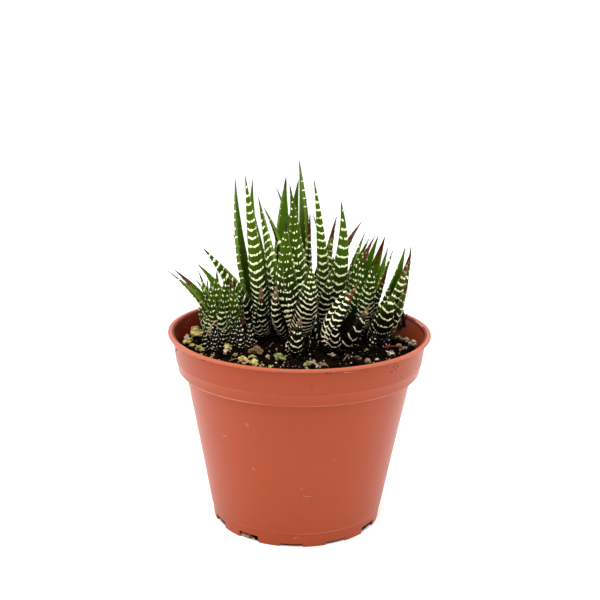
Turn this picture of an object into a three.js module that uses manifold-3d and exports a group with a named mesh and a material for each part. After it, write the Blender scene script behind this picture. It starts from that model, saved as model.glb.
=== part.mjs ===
// A zebra haworthia that has grown into a clump of nine rosettes, in a thin plastic nursery pot.
// Millimetres, +Z up. The origin is the middle of the pot's foot, and -Y is the front.
import * as THREE from "three";
import { mergeVertices } from "three/addons/utils/BufferGeometryUtils.js";
import Module from "manifold-3d";

// The pot
const RIM_RADIUS = 52.5;
const POT_HEIGHT = 78.6;
const FOOT_RADIUS = 34.3;
const WALL = 1.2;
const COLLAR_BOTTOM = 63.4;
const FLOOR_UNDERSIDE = 1.6;
const FLOOR_TOP = 2.6;
const POT_SIDES = 48;
const NOTCHES = 12;
const FIRST_NOTCH_DEG = -92.6;
const SHALLOW_NOTCH = 1.3;
const DRAIN_NOTCH = 2.9;

// The soil
const GAP = 0.4;
const SOIL_EDGE_Z = 69.5;
const SOIL_CROWN = 4.5;
const SOIL_RADIUS = 47.8;
const SOIL_SIDES = 24;
const HOLE_DEPTH = 6;
const GRAINS = 18;
const GRAIN_SIZES = [1.7, 2.9];

// The leaves
const RING_STEP = 4.2;
const RIDGE = 0.6;
const LEAF_DEPTH = 0.38;
const TAPER = 0.75;
const SWELL = 2;
const BLUNT = 0.9;
const BAND_SAG = 0.16;
const FOOT_OUT = 0.52;
const FOOT_LIFT = 0.06;
const CORE_SIDES = 10;

// One row for each leaf: the way its back faces, in degrees round the heart, its tip across, back and up,
// its width at the foot, and how far its middle bows across and back.
const ROSETTES = [
  {
    name: "rosette_left",
    heart: [-31.5, 8.5],
    core: 8,
    leaves: [
      [-160, -52, -12, 105, 5.5, 12, -1],
      [175, -50.5, -2, 103, 6, 11, -1],
      [-140, -41.5, -4, 99.5, 5.5, 8, -1],
      [-170, -41.5, 4, 102, 5.5, 5, -2],
      [120, -43.5, 20, 100.5, 5.5, 12, 0],
      [-115, -35.5, -2, 98, 5, -1, -2],
      [-150, -37, 2, 98, 5.5, -1, -1],
      [-35, -24.5, 1, 97, 5.5, 2, -1],
      [-130, -33.5, 4, 101.5, 6, 1, -1],
      [-70, -28.5, -1, 101.5, 5, 5, -2],
      [-85, -30, -2, 102, 5, 1, -3],
      [-105, -34.5, -5, 96, 5.5, -2, -3],
      [-125, -37, -4, 93, 5, -2, -2],
      [-95, -30.5, -5, 92.5, 5, 0, -3],
      [60, -31, 20, 94, 7, 1, 3],
      [95, -40, 28, 89, 6, -1, 2],
      [-80, -30, -3, 86.5, 6, 0, -1],
      [-115, -35.5, -2.5, 87, 6, 0, -1],
      [-150, -41, 3, 87, 5, 0, 0],
      [-40, -23.5, 0, 87, 5.5, 0, 0],
    ],
  },
  {
    name: "rosette_centre_left",
    heart: [-14, 9],
    core: 5.2,
    leaves: [
      [-130, -39.5, 8, 109.5, 8, 5, 0],
      [155, -27, 17, 136.5, 7, -4, 2],
      [-95, -22.5, 6, 139.5, 6, 0, -4],
      [60, -20, 17, 136.5, 6, -6, 2],
      [160, -28.5, 22, 113.5, 5.5, 3, 1],
      [-95, -15.5, -4, 98, 5, -0.5, -3],
      [100, -21, 29, 124, 7.5, 1, 3],
      [-145, -22, 1, 91, 5.5, -2, -1],
      [125, -26, 30, 98, 7, 0, 2],
      [-115, -18.5, -2, 88, 5, 0, -1],
      [175, -23.5, 9, 90, 5.5, -1, 0],
      [-165, -21.8, 5, 84.5, 5, -1, 0],
    ],
  },
  {
    name: "rosette_centre",
    heart: [-2.5, 5],
    core: 6,
    leaves: [
      [130, -6.5, 16, 138, 9, -3, 3],
      [175, -15.5, 12, 126, 9, 12, 0],
      [-160, -17.5, 10, 130.5, 8.5, 2, -2],
      [-135, -9, -5, 98, 6.5, -3.5, -3],
      [-100, -6, 2, 122, 9.5, -2, -4],
      [-135, -13, 5, 113, 7.5, 1, -2],
      [-75, 3.5, -2, 107, 9.5, 4, -5],
      [10, -6.5, -4, 107, 6, -6, -3],
      [-90, -5, 8, 136, 7, 4, -1],
      [50, -3, 18, 122, 7, 3, 2],
    ],
  },
  {
    name: "rosette_back",
    heart: [-2, 31],
    core: 6,
    leaves: [
      [175, -11, 27, 132, 7.5, 12, 0],
      [115, -1.5, 32, 134.5, 8, -3, 2],
      [25, -1.5, 27, 143.5, 8.5, 2, 0],
      [-20, 3.5, 26, 122, 6, 0, -1],
      [60, 0, 40, 122, 8, 3, 2],
      [140, -6.5, 40, 119, 8, -3, 3],
      [95, -1.5, 47, 102, 7, 0, 3],
      [30, 7.5, 38, 98, 7, 2, 1],
      [165, -12.5, 38, 97.5, 7, -2, 1],
    ],
  },
  {
    name: "rosette_centre_right",
    heart: [8, 20],
    core: 6,
    leaves: [
      [-65, 4.5, 13, 138, 5, 3, -3],
      [5, 14.5, 20, 121.5, 8.5, -6, 0],
      [-75, 15.5, 9, 129.5, 7, 8, -4],
      [25, 25, 22, 119, 7, -9, 0],
      [165, 4.5, 25, 121.5, 5.5, 10, 0],
      [80, 10, 33, 109, 7, 0, 2],
      [-85, 14, 7, 105, 5.5, -1, -3],
      [55, 14, 34, 101.5, 6.5, 1, 1],
    ],
  },
  {
    name: "rosette_right",
    heart: [23, 19],
    core: 6,
    leaves: [
      [170, 26.5, 20, 115, 7.5, -3, 0],
      [-150, 28, 14, 114, 6, -5, 0],
      [-95, 26, 8, 105, 6.5, -1, -2],
      [-110, 30, 9, 116, 5, -7, -2],
      [115, 32.5, 27, 112.5, 6, -1, 2],
      [50, 35, 23, 113, 6.5, -1, 2],
      [10, 36, 18, 110, 6, 0, 0],
      [-15, 38, 15, 109.5, 6, -1, 0],
      [-50, 35.5, 11, 101.5, 6, 0, 0],
      [-80, 29, 7, 105, 7.5, 2, -3],
      [-165, 21, 12, 104, 7.5, 3, -1],
      [90, 30, 36, 98, 7, 0, 2],
    ],
  },
  {
    name: "rosette_far_right",
    heart: [32, 10],
    core: 5.5,
    leaves: [
      [115, 42, 9, 111.5, 5.5, 3, 0],
      [-15, 44.5, 11, 112.5, 5.5, 3, -1],
      [-70, 43, 4, 108.5, 5, 1, -1],
      [-35, 43, 0, 100.5, 5.5, 1, -2],
      [-100, 36, 1, 97, 6, -1, -2],
      [-80, 38, 0, 95.5, 8.5, -2, -2.5],
      [80, 42, 22, 97, 6, 2, 2],
      [-115, 32, 0, 87, 5.5, -1, -1],
    ],
  },
  {
    name: "rosette_front_right",
    heart: [13.5, -6.5],
    core: 5.5,
    leaves: [
      [-125, 23, -7, 100, 5.5, -3.5, -4],
      [-45, 27.5, -7, 91.5, 6, 1, -3],
      [-145, 19.5, -4, 98, 6, -4, -2],
      [50, 23, 0, 90, 6, 1, 1],
      [170, 7, -5, 88, 5.5, -1, -1],
      [-85, 14, -13, 85, 5, 0, -1],
    ],
  },
  {
    name: "rosette_front",
    heart: [-0.8, -14],
    core: 4,
    leaves: [
      [-95, 0.5, -16.5, 88.5, 5.5, -1, -1],
      [-160, -4.3, -16.5, 79.5, 4, 0, 0],
      [30, 3.2, -12.5, 81, 4, 1, 0],
    ],
  },
];

const wasm = await Module();
wasm.setup();

const radians = THREE.MathUtils.degToRad;

// A closed three.js shape as a solid that can be joined and cut.
function solid(geometry) {
  const bare = geometry.index ? geometry.toNonIndexed() : geometry.clone();
  const points = new THREE.BufferGeometry().setAttribute("position", bare.getAttribute("position"));
  const merged = mergeVertices(points, 1e-4);
  return new wasm.Manifold(
    new wasm.Mesh({
      numProp: 3,
      vertProperties: merged.attributes.position.array,
      triVerts: new Uint32Array(merged.index.array),
    }),
  );
}

function geometryOf(made) {
  const mesh = made.getMesh();
  const geometry = new THREE.BufferGeometry();
  geometry.setAttribute("position", new THREE.BufferAttribute(mesh.vertProperties, 3));
  geometry.setIndex(new THREE.BufferAttribute(mesh.triVerts, 1));
  return geometry.toNonIndexed();
}

// A profile of [radius, height] points turned about the upright axis, with its first edge at startDeg.
function turned(profile, sides, startDeg = 0) {
  const points = profile.map(([r, z]) => new THREE.Vector2(r, z));
  const geometry = new THREE.LatheGeometry(points, sides, 0, 2 * Math.PI);
  geometry.rotateX(Math.PI / 2);
  geometry.rotateZ(radians(startDeg));
  return geometry;
}

// The pot's outside, from the foot up to the lip, as [radius, height].
const POT_OUTSIDE = [
  [FOOT_RADIUS, 0],
  [FOOT_RADIUS + 0.7, 6],
  [FOOT_RADIUS + 11.4, COLLAR_BOTTOM - 0.9],
  [RIM_RADIUS - 3.9, COLLAR_BOTTOM],
  [RIM_RADIUS - 3.1, COLLAR_BOTTOM + 4.1],
  [RIM_RADIUS - 1.8, POT_HEIGHT - 1.2],
  [RIM_RADIUS, POT_HEIGHT - 0.9],
  [RIM_RADIUS, POT_HEIGHT - 0.1],
  [RIM_RADIUS - 0.8, POT_HEIGHT],
];

// The pot's inside, from the floor up, a wall's thickness in from the outside.
const POT_INSIDE = [
  [FOOT_RADIUS - 1.2, FLOOR_TOP],
  [FOOT_RADIUS + 0.7 - WALL, 6],
  [FOOT_RADIUS + 11.4 - WALL, COLLAR_BOTTOM + 0.3],
  [RIM_RADIUS - 3.9 - WALL, COLLAR_BOTTOM + 1.2],
  [RIM_RADIUS - 3.1 - WALL, COLLAR_BOTTOM + 4.1],
  [RIM_RADIUS - 1.8 - WALL, POT_HEIGHT - 0.4],
];

const NOTCH_PITCH = 360 / NOTCHES;
const notchStart = FIRST_NOTCH_DEG - NOTCH_PITCH / 4;

// A wedge that cuts one notch in the foot, open to the outside.
function notchCutter(middleDeg, innerRadius, height) {
  const outer = FOOT_RADIUS + 6;
  const corners = [
    [innerRadius, -NOTCH_PITCH / 4],
    [outer, -NOTCH_PITCH / 4],
    [outer, NOTCH_PITCH / 4],
    [innerRadius, NOTCH_PITCH / 4],
  ];
  const outline = new THREE.Shape(
    corners.map(([r, deg]) => {
      const turn = radians(middleDeg + deg);
      return new THREE.Vector2(r * Math.cos(turn), r * Math.sin(turn));
    }),
  );
  const wedge = new THREE.ExtrudeGeometry(outline, { depth: height + 1, bevelEnabled: false });
  return wedge.translate(0, 0, -1);
}

// The foot's notches come in pairs: two that drain through the floor's edge, then two that only lift the rim.
function makePot() {
  const profile = [[0, FLOOR_UNDERSIDE], [FOOT_RADIUS - 2.5, FLOOR_UNDERSIDE], [FOOT_RADIUS - 2.1, 0]];
  profile.push(...POT_OUTSIDE);
  profile.push(...POT_INSIDE.toReversed());
  profile.push([0, FLOOR_TOP]);
  let pot = solid(turned(profile, POT_SIDES, notchStart));
  for (let i = 0; i < NOTCHES; i += 1) {
    const drains = (i + 2) % 4 < 2;
    const inner = drains ? FOOT_RADIUS - 4.5 : FOOT_RADIUS - 3.2;
    const height = drains ? DRAIN_NOTCH : SHALLOW_NOTCH;
    pot = pot.subtract(solid(notchCutter(FIRST_NOTCH_DEG + i * NOTCH_PITCH, inner, height)));
  }
  return pot;
}

function soilHeight(x, y) {
  const out = Math.min(1, Math.hypot(x, y) / SOIL_RADIUS);
  return SOIL_EDGE_Z + SOIL_CROWN * (1 - out * out);
}

// The soil fills the pot, and its top is a low uneven mound.
function makeSoil() {
  const profile = [[0, FLOOR_TOP + GAP]];
  for (const [r, z] of POT_INSIDE.slice(0, 5)) {
    profile.push([r - GAP, z + GAP]);
  }
  profile.push([SOIL_RADIUS - GAP, SOIL_EDGE_Z]);
  for (let ring = 4; ring >= 0; ring -= 1) {
    const r = (SOIL_RADIUS - 4) * (ring / 4);
    profile.push([r, soilHeight(r, 0)]);
  }
  const geometry = turned(profile, SOIL_SIDES, notchStart);
  const points = geometry.attributes.position;
  for (let i = 0; i < points.count; i += 1) {
    const [x, y, z] = [points.getX(i), points.getY(i), points.getZ(i)];
    if (z > SOIL_EDGE_Z + 0.1 && Math.hypot(x, y) > 1) {
      points.setZ(i, z + 0.5 * Math.sin(x * 0.31 + 1) * Math.cos(y * 0.37));
    }
  }
  let soil = solid(geometry);
  for (const grain of grains()) soil = soil.add(solid(grain));
  for (const { heart, core } of ROSETTES) soil = soil.subtract(solid(hole(heart, core)));
  return soil;
}

// A plain round hole, a gap wider and deeper than the stem that stands in it, and dished at the top.
function hole([x, y], core) {
  const top = soilHeight(x, y);
  const floor = top - HOLE_DEPTH - GAP;
  const profile = [
    [0, floor],
    [core + GAP, floor],
    [core + GAP, top - 2],
    [core + 2.5, top + 0.5],
    [core + 2.5, top + 6],
    [0, top + 6],
  ];
  return turned(profile, CORE_SIDES).translate(x, y, 0);
}

// A small repeatable source of numbers between 0 and 1.
function seeded(seed) {
  let state = seed;
  return () => {
    state = (state * 16807) % 2147483647;
    return state / 2147483647;
  };
}

// Lumps of pumice, half sunk in the soil and kept clear of the stems.
function grains() {
  const draw = seeded(7);
  const lumps = [];
  while (lumps.length < GRAINS) {
    const turn = 2 * Math.PI * draw();
    const out = (SOIL_RADIUS - 5) * Math.sqrt(draw());
    const [x, y] = [out * Math.cos(turn), out * Math.sin(turn)];
    const size = GRAIN_SIZES[0] + draw() * (GRAIN_SIZES[1] - GRAIN_SIZES[0]);
    const spin = 6 * draw();
    const clear = ROSETTES.every(({ heart, core }) => Math.hypot(x - heart[0], y - heart[1]) > core + size + 3);
    if (clear) {
      const lump = new THREE.IcosahedronGeometry(size, 0);
      lump.scale(1, 0.8, 0.7).rotateZ(spin);
      lumps.push(lump.translate(x, y, soilHeight(x, y) + 0.4));
    }
  }
  return lumps;
}

// A leaf's section, as [across, out to the back] in leaf widths: a flat inner face and a keeled back.
const SECTION = [
  [-0.5, 0],
  [-0.28, 0.7],
  [0, 1],
  [0.28, 0.7],
  [0.5, 0],
];

// One leaf: its rib is a smooth curve from the heart to the tip, and rings of its section run along it.
// Its width swells a little above the foot and then tapers. Every second ring stands out on the back,
// which makes the raised bands.
function leaf({ heart, core }, [facing, x, y, z, width, bowX, bowY]) {
  const ground = soilHeight(...heart);
  const out = new THREE.Vector3(Math.cos(radians(facing)), Math.sin(radians(facing)), 0);
  const foot = new THREE.Vector3(heart[0], heart[1], ground - 1 + FOOT_LIFT * (z - ground));
  foot.addScaledVector(out, FOOT_OUT * core);
  const tip = new THREE.Vector3(x, y, z);
  const bow = foot.clone().lerp(tip, 0.5).add(new THREE.Vector3(bowX, bowY, 0));
  const rib = new THREE.QuadraticBezierCurve3(foot, bow, tip);
  const rings = Math.max(6, Math.round(rib.getLength() / RING_STEP));
  const points = [];
  for (let i = 0; i < rings; i += 1) {
    const t = i / rings;
    const along = rib.getTangent(t);
    const back = out.clone().addScaledVector(along, -along.dot(out)).normalize();
    const side = new THREE.Vector3().crossVectors(along, back);
    const wide = Math.max(width * (1 - t) ** TAPER * (1 + SWELL * t * (1 - t)), BLUNT);
    const deep = Math.max(wide * LEAF_DEPTH, 0.8);
    const ridge = i % 2 ? RIDGE * Math.min(1, wide / 3) : 0;
    for (const [across, rise] of SECTION) {
      const p = rib.getPoint(t);
      p.addScaledVector(side, across * wide);
      p.addScaledVector(back, rise * deep + (rise > 0 ? ridge : 0));
      p.addScaledVector(along, -rise * BAND_SAG * wide * Math.min(1, 4 * t));
      points.push(p);
    }
  }
  points.push(rib.getPoint(0), tip);
  return skinned(points, rings);
}

// The skin over rings of section points, closed by a fan at the foot and another at the tip.
function skinned(points, rings) {
  const n = SECTION.length;
  const faces = [];
  for (let i = 0; i < rings - 1; i += 1) {
    for (let j = 0; j < n; j += 1) {
      const [a, b] = [i * n + j, i * n + ((j + 1) % n)];
      faces.push([a, b, b + n], [a, b + n, a + n]);
    }
  }
  const last = (rings - 1) * n;
  for (let j = 0; j < n; j += 1) {
    const next = (j + 1) % n;
    faces.push([next, j, rings * n], [last + j, last + next, rings * n + 1]);
  }
  const geometry = new THREE.BufferGeometry().setFromPoints(points);
  geometry.setIndex(faces.flat());
  return geometry;
}

// The short stem that a rosette's leaves are joined to, standing in its hole in the soil.
function stem([x, y], core) {
  const ground = soilHeight(x, y);
  const profile = [
    [0, ground - HOLE_DEPTH],
    [core, ground - HOLE_DEPTH],
    [core, ground + 1],
    [core * 0.8, ground + 4],
    [core * 0.4, ground + 7],
    [0, ground + 8],
  ];
  return turned(profile, CORE_SIDES).translate(x, y, 0);
}

// The leaves are fused to their stem. A hollow that they close between them is filled: only the outer skin,
// which is the largest part by far, is kept.
function makeRosette(rosette) {
  let whole = solid(stem(rosette.heart, rosette.core));
  for (const row of rosette.leaves) whole = whole.add(solid(leaf(rosette, row)));
  const skins = whole.decompose();
  skins.sort((a, b) => b.volume() - a.volume());
  return skins[0];
}

const terracotta = new THREE.MeshStandardMaterial({ color: 0xc0623f, roughness: 0.5, metalness: 0 });
const peat = new THREE.MeshStandardMaterial({ color: 0x1d140d, roughness: 1, metalness: 0 });
const leafGreen = new THREE.MeshStandardMaterial({ color: 0x4f7a1f, roughness: 0.55, metalness: 0 });

function named(name, made, material) {
  const mesh = new THREE.Mesh(geometryOf(made), material);
  mesh.name = name;
  return mesh;
}

const plant = new THREE.Group();
plant.add(named("pot", makePot(), terracotta));
plant.add(named("soil", makeSoil(), peat));
for (const rosette of ROSETTES) {
  plant.add(named(rosette.name, makeRosette(rosette), leafGreen));
}

export default plant;
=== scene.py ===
# %% [markdown]
# # A potted haworthia
#
# The object is a clump of zebra haworthia in a thin terracotta-coloured nursery pot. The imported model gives
# the pot, the soil and nine rosettes as plain solids at their real size. This lesson keeps those sizes and
# makes what the eye sees: banded leaves, moulded plastic, peat and pumice. Everything is in metres, with the
# origin at the middle of the pot's foot and -Y towards the camera.

# %% Load the frame
import math
import random

import bmesh
import bpy
import numpy as np
from mathutils import Matrix, Vector, noise


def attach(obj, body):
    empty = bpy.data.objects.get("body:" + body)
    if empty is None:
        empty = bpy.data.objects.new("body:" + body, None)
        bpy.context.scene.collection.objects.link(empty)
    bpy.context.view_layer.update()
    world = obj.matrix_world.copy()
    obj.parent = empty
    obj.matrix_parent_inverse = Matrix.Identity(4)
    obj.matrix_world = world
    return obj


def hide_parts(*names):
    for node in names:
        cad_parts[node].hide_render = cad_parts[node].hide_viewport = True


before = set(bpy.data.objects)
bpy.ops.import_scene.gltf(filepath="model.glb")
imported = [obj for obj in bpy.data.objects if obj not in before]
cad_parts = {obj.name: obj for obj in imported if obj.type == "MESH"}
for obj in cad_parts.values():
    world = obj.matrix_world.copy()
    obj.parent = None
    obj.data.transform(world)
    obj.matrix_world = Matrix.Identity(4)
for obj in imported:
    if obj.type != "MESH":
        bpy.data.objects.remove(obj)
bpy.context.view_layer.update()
MM = 0.001
print("the frame holds", sorted(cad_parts))

# %% [markdown]
# ## Camera and studio
#
# The photo was taken from a little above the rim. A fitted camera stands 0.4 m in front of the pot and looks
# down by about 15 degrees, rolled by one degree. Placing it by those measures puts the pot's rim and foot
# where the photo has them, so later pieces can be compared with it spot by spot.

# %% Camera
EYE = Vector((0, -0.400, 0.1955))
LOOK_DOWN = math.radians(14.7)
ROLL = math.radians(1.09)
LENS = 62.14

camera_data = bpy.data.cameras.new("camera")
camera_data.lens = LENS
camera_data.sensor_width = 36
camera_data.clip_start = 0.01
camera = bpy.data.objects.new("camera", camera_data)
tilt = Matrix.Rotation(math.pi / 2 - LOOK_DOWN, 4, "X")
camera.matrix_world = Matrix.Translation(EYE) @ tilt @ Matrix.Rotation(ROLL, 4, "Z")
bpy.context.scene.collection.objects.link(camera)
bpy.context.scene.camera = camera
print("camera height", EYE.z, "m, lens", LENS, "mm")

# %% [markdown]
# The background of the photo is plain white and the light is a soft tent: the pot is brighter along its
# left and right edges than in the middle. A white world does most of this. It is dimmer on the camera's own
# side, where the real tent is open. Large soft lamps at the left and right, above and in front shape the
# leaves.

# %% Studio
scene = bpy.context.scene
scene.view_settings.view_transform = "Standard"
scene.view_settings.look = "None"
world = bpy.data.worlds.new("studio")
scene.world = world
world.use_nodes = True
sky = world.node_tree.nodes["Background"]
sky.inputs["Color"].default_value = (1, 1, 1, 1)
TENT_WHITE = 1.28
TENT_OPEN = 0.38
direction = world.node_tree.nodes.new("ShaderNodeTexCoord")
parts = world.node_tree.nodes.new("ShaderNodeSeparateXYZ")
brightness = world.node_tree.nodes.new("ShaderNodeMapRange")
brightness.interpolation_type = "SMOOTHSTEP"
tent = {"From Min": -0.85, "From Max": 0.1, "To Min": TENT_OPEN, "To Max": TENT_WHITE}
for label, value in tent.items():
    brightness.inputs[label].default_value = value
world.node_tree.links.new(direction.outputs["Generated"], parts.inputs["Vector"])
world.node_tree.links.new(parts.outputs["Y"], brightness.inputs["Value"])
world.node_tree.links.new(brightness.outputs["Result"], sky.inputs["Strength"])


def soft_light(name, place, target, size, power):
    data = bpy.data.lights.new(name, "AREA")
    data.shape = "RECTANGLE"
    data.size = size
    data.size_y = size * 1.3
    data.energy = power
    light = bpy.data.objects.new(name, data)
    aim = (Vector(target) - Vector(place)).to_track_quat("-Z", "Y")
    light.matrix_world = Matrix.Translation(place) @ aim.to_matrix().to_4x4()
    scene.collection.objects.link(light)
    return light


MIDDLE = (0, 0, 0.08)
soft_light("left_light", (-0.8, -0.1, 0.35), MIDDLE, 0.5, 2.0)
soft_light("right_light", (0.8, -0.1, 0.35), MIDDLE, 0.5, 1.5)
soft_light("top_light", (-0.1, -0.1, 0.95), MIDDLE, 0.6, 4.8)
soft_light("front_light", (-0.15, -0.6, 0.75), MIDDLE, 0.35, 3.2)

# %% [markdown]
# ## Working by hand
#
# An operator acts on everything that is selected, and the loaded frame leaves its nodes selected, so each
# piece starts by clearing the selection. The helpers below keep that in one place, with the steps that every
# piece needs: reading and moving its points, joining, copying, and taking its material and slot.


# %% Helpers for modelling
def fresh():
    if bpy.context.object and bpy.context.object.mode != "OBJECT":
        bpy.ops.object.mode_set(mode="OBJECT")
    bpy.ops.object.select_all(action="DESELECT")


def take(piece):
    fresh()
    piece.select_set(True)
    bpy.context.view_layer.objects.active = piece
    return piece


def done():
    bpy.ops.object.mode_set(mode="OBJECT")


def settle(piece):
    take(piece)
    bpy.ops.object.transform_apply(location=True, rotation=True, scale=True)


def apply_all(piece):
    take(piece)
    for modifier in list(piece.modifiers):
        bpy.ops.object.modifier_apply(modifier=modifier.name)


def points_of(piece):
    places = np.zeros(len(piece.data.vertices) * 3)
    piece.data.vertices.foreach_get("co", places)
    return places.reshape(-1, 3)


def set_points(piece, places):
    piece.data.vertices.foreach_set("co", places.astype(np.float32).ravel())
    piece.data.update()


def store(piece, name, values):
    """Keeps one number for each point, or the same number for all, for the materials to read."""
    attribute = piece.data.attributes.new(name, "FLOAT", "POINT")
    attribute.data.foreach_set("value", np.full(len(piece.data.vertices), values, np.float32))


def joined(pieces, name):
    fresh()
    for piece in pieces:
        piece.select_set(True)
    bpy.context.view_layer.objects.active = pieces[0]
    if len(pieces) > 1:
        bpy.ops.object.join()
    pieces[0].name = name
    pieces[0].data.name = name
    return pieces[0]


def smooth(piece):
    take(piece)
    bpy.ops.object.shade_smooth()


def copy_of(piece, name):
    twin = bpy.data.objects.new(name, piece.data.copy())
    scene.collection.objects.link(twin)
    return twin


def show_with(piece, material):
    piece.data.materials.clear()
    piece.data.materials.append(material)
    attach(piece, "root")
    triangles = sum(len(face.vertices) - 2 for face in piece.data.polygons)
    print(piece.name, "has", triangles, "triangles")


print("modelling helpers are ready")

# %% [markdown]
# The pot and the soil in it are round, so they are turned, as on a lathe. A Screw modifier could do it too,
# but a spin in edit mode leaves a plain mesh that can be cut at once. One point is extruded along the half
# outline and spun about the upright axis. Doubles on the axis and at the seam are merged and the normals
# recalculated, because a spin can turn a shape inside out.


# %% Turned pieces
def turned(name, outline, steps):
    fresh()
    bpy.ops.mesh.primitive_plane_add(size=0.001)
    piece = bpy.context.object
    piece.name = name
    bpy.ops.object.mode_set(mode="EDIT")
    bpy.ops.mesh.select_all(action="SELECT")
    bpy.ops.mesh.merge(type="CENTER")
    here = Vector((0, 0, 0))
    for index, (r, z) in enumerate(outline):
        there = Vector((r, 0, z)) * MM
        if index == 0:
            bpy.ops.transform.translate(value=there - here)
        else:
            bpy.ops.mesh.extrude_region_move(TRANSFORM_OT_translate={"value": there - here})
        here = there
    bpy.ops.mesh.select_all(action="SELECT")
    bpy.ops.mesh.spin(steps=steps, angle=2 * math.pi, center=(0, 0, 0), axis=(0, 0, 1))
    bpy.ops.mesh.select_all(action="SELECT")
    bpy.ops.mesh.remove_doubles(threshold=0.00001)
    bpy.ops.mesh.normals_make_consistent(inside=False)
    done()
    return piece


print("a turned piece needs a name, a half outline and a number of steps")

# %% [markdown]
# ## Shared shader effects
#
# Each finish is a small tree of nodes. They could be linked one by one, but that would fill pages and hide
# what the finish is about. A small class adds a node, feeds its inputs and hands back its output, so that a
# finish reads like a recipe.


# %% Node helpers
def new_group(name, inputs, outputs):
    group = bpy.data.node_groups.new(name, "ShaderNodeTree")
    for label, kind, value in inputs:
        socket = group.interface.new_socket(label, in_out="INPUT", socket_type=kind)
        socket.default_value = value
    for label, kind in outputs:
        group.interface.new_socket(label, in_out="OUTPUT", socket_type=kind)
    entry = group.nodes.new("NodeGroupInput")
    exit_node = group.nodes.new("NodeGroupOutput")
    return group, entry, exit_node


class Nodes:
    """A few short calls that add nodes to a tree and link them."""

    def __init__(self, tree):
        self.tree = tree

    def add(self, kind, **values):
        node = self.tree.nodes.new(kind)
        for key, value in values.items():
            setattr(node, key, value)
        return node

    def link(self, source, target):
        self.tree.links.new(source, target)

    def feed(self, socket, value):
        if isinstance(value, bpy.types.NodeSocket):
            self.link(value, socket)
        else:
            socket.default_value = value

    def math(self, operation, a, b=0.0, c=0.0, clamp=False):
        node = self.add("ShaderNodeMath", operation=operation, use_clamp=clamp)
        self.feed(node.inputs[0], a)
        self.feed(node.inputs[1], b)
        self.feed(node.inputs[2], c)
        return node.outputs[0]

    def ramp(self, value, low, high, to_low=0.0, to_high=1.0):
        node = self.add("ShaderNodeMapRange", interpolation_type="SMOOTHSTEP")
        self.feed(node.inputs["Value"], value)
        self.feed(node.inputs["From Min"], low)
        self.feed(node.inputs["From Max"], high)
        self.feed(node.inputs["To Min"], to_low)
        self.feed(node.inputs["To Max"], to_high)
        return node.outputs["Result"]

    def mix(self, factor, a, b, blend="MIX"):
        node = self.add("ShaderNodeMix", data_type="RGBA", blend_type=blend)
        self.feed(node.inputs["Factor"], factor)
        self.feed(node.inputs["A"], a)
        self.feed(node.inputs["B"], b)
        return node.outputs["Result"]

    def noise(self, place, scale, detail=3.0, roughness=0.5):
        node = self.add("ShaderNodeTexNoise")
        self.link(place, node.inputs["Vector"])
        node.inputs["Scale"].default_value = scale
        node.inputs["Detail"].default_value = detail
        node.inputs["Roughness"].default_value = roughness
        return node.outputs["Fac"]

    def cells(self, place, scale, randomness=1.0):
        node = self.add("ShaderNodeTexVoronoi")
        self.link(place, node.inputs["Vector"])
        node.inputs["Scale"].default_value = scale
        node.inputs["Randomness"].default_value = randomness
        return node

    def times(self, a, b):
        return self.math("MULTIPLY", a, b)

    def height_of(self, place):
        node = self.add("ShaderNodeSeparateXYZ")
        self.link(place, node.inputs["Vector"])
        return node.outputs["Z"]

    def bump(self, height, strength, distance):
        node = self.add("ShaderNodeBump")
        node.inputs["Strength"].default_value = strength
        node.inputs["Distance"].default_value = distance
        self.link(height, node.inputs["Height"])
        return node.outputs["Normal"]

    def tones(self, value, first, between, last):
        """A colour ramp from 0 to 1, with the tones between at their own places."""
        node = self.add("ShaderNodeValToRGB")
        stops = node.color_ramp.elements
        stops[0].color = first
        stops[1].color = last
        for at, tone in between:
            stops.new(at).color = tone
        self.link(value, node.inputs["Fac"])
        return node.outputs["Color"]

    def place(self):
        return self.add("ShaderNodeTexCoord").outputs["Object"]

    def attribute(self, name):
        return self.add("ShaderNodeAttribute", attribute_name=name).outputs["Fac"]


def srgb(red, green, blue):
    def linear(value):
        share = value / 255
        return share / 12.92 if share <= 0.04045 else ((share + 0.055) / 1.055) ** 2.4

    return (linear(red), linear(green), linear(blue), 1.0)


def new_material(name, roughness, gloss=0.5):
    material = bpy.data.materials.new(name)
    material.use_nodes = True
    shader = material.node_tree.nodes["Principled BSDF"]
    shader.inputs["Roughness"].default_value = roughness
    shader.inputs["Specular IOR Level"].default_value = gloss
    return material, Nodes(material.node_tree), shader


print("calls for nodes:", [name for name in dir(Nodes) if name[0] != "_"])

# %% [markdown]
# Moulded plastic, leaves and stones are never one even colour, and fine specks lie on most of them. Painted
# pictures could show this, but they would need unwrapped pieces. Noise and scattered cells in the object's
# own space need nothing, so both effects are node groups, built once and placed with their own values.


# %% Uneven colour and specks
def uneven_colour_group():
    """Shifts a colour lighter and darker in soft clouds."""
    sockets = [
        ("Colour", "NodeSocketColor", (0.5, 0.5, 0.5, 1)),
        ("Scale", "NodeSocketFloat", 60.0),
        ("Amount", "NodeSocketFloat", 0.1),
    ]
    group, entry, leave = new_group("uneven_colour", sockets, [("Colour", "NodeSocketColor")])
    nodes = Nodes(group)
    cloud = nodes.add("ShaderNodeTexNoise")
    nodes.link(nodes.place(), cloud.inputs["Vector"])
    nodes.link(entry.outputs["Scale"], cloud.inputs["Scale"])
    cloud.inputs["Detail"].default_value = 4
    lift = nodes.math("SUBTRACT", cloud.outputs["Fac"], 0.5)
    lift = nodes.times(lift, entry.outputs["Amount"])
    lift = nodes.math("MULTIPLY_ADD", lift, 2.0, 1.0)
    shift = nodes.add("ShaderNodeHueSaturation")
    nodes.link(entry.outputs["Colour"], shift.inputs["Color"])
    nodes.link(lift, shift.inputs["Value"])
    nodes.link(shift.outputs["Color"], leave.inputs["Colour"])
    return group


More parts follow.
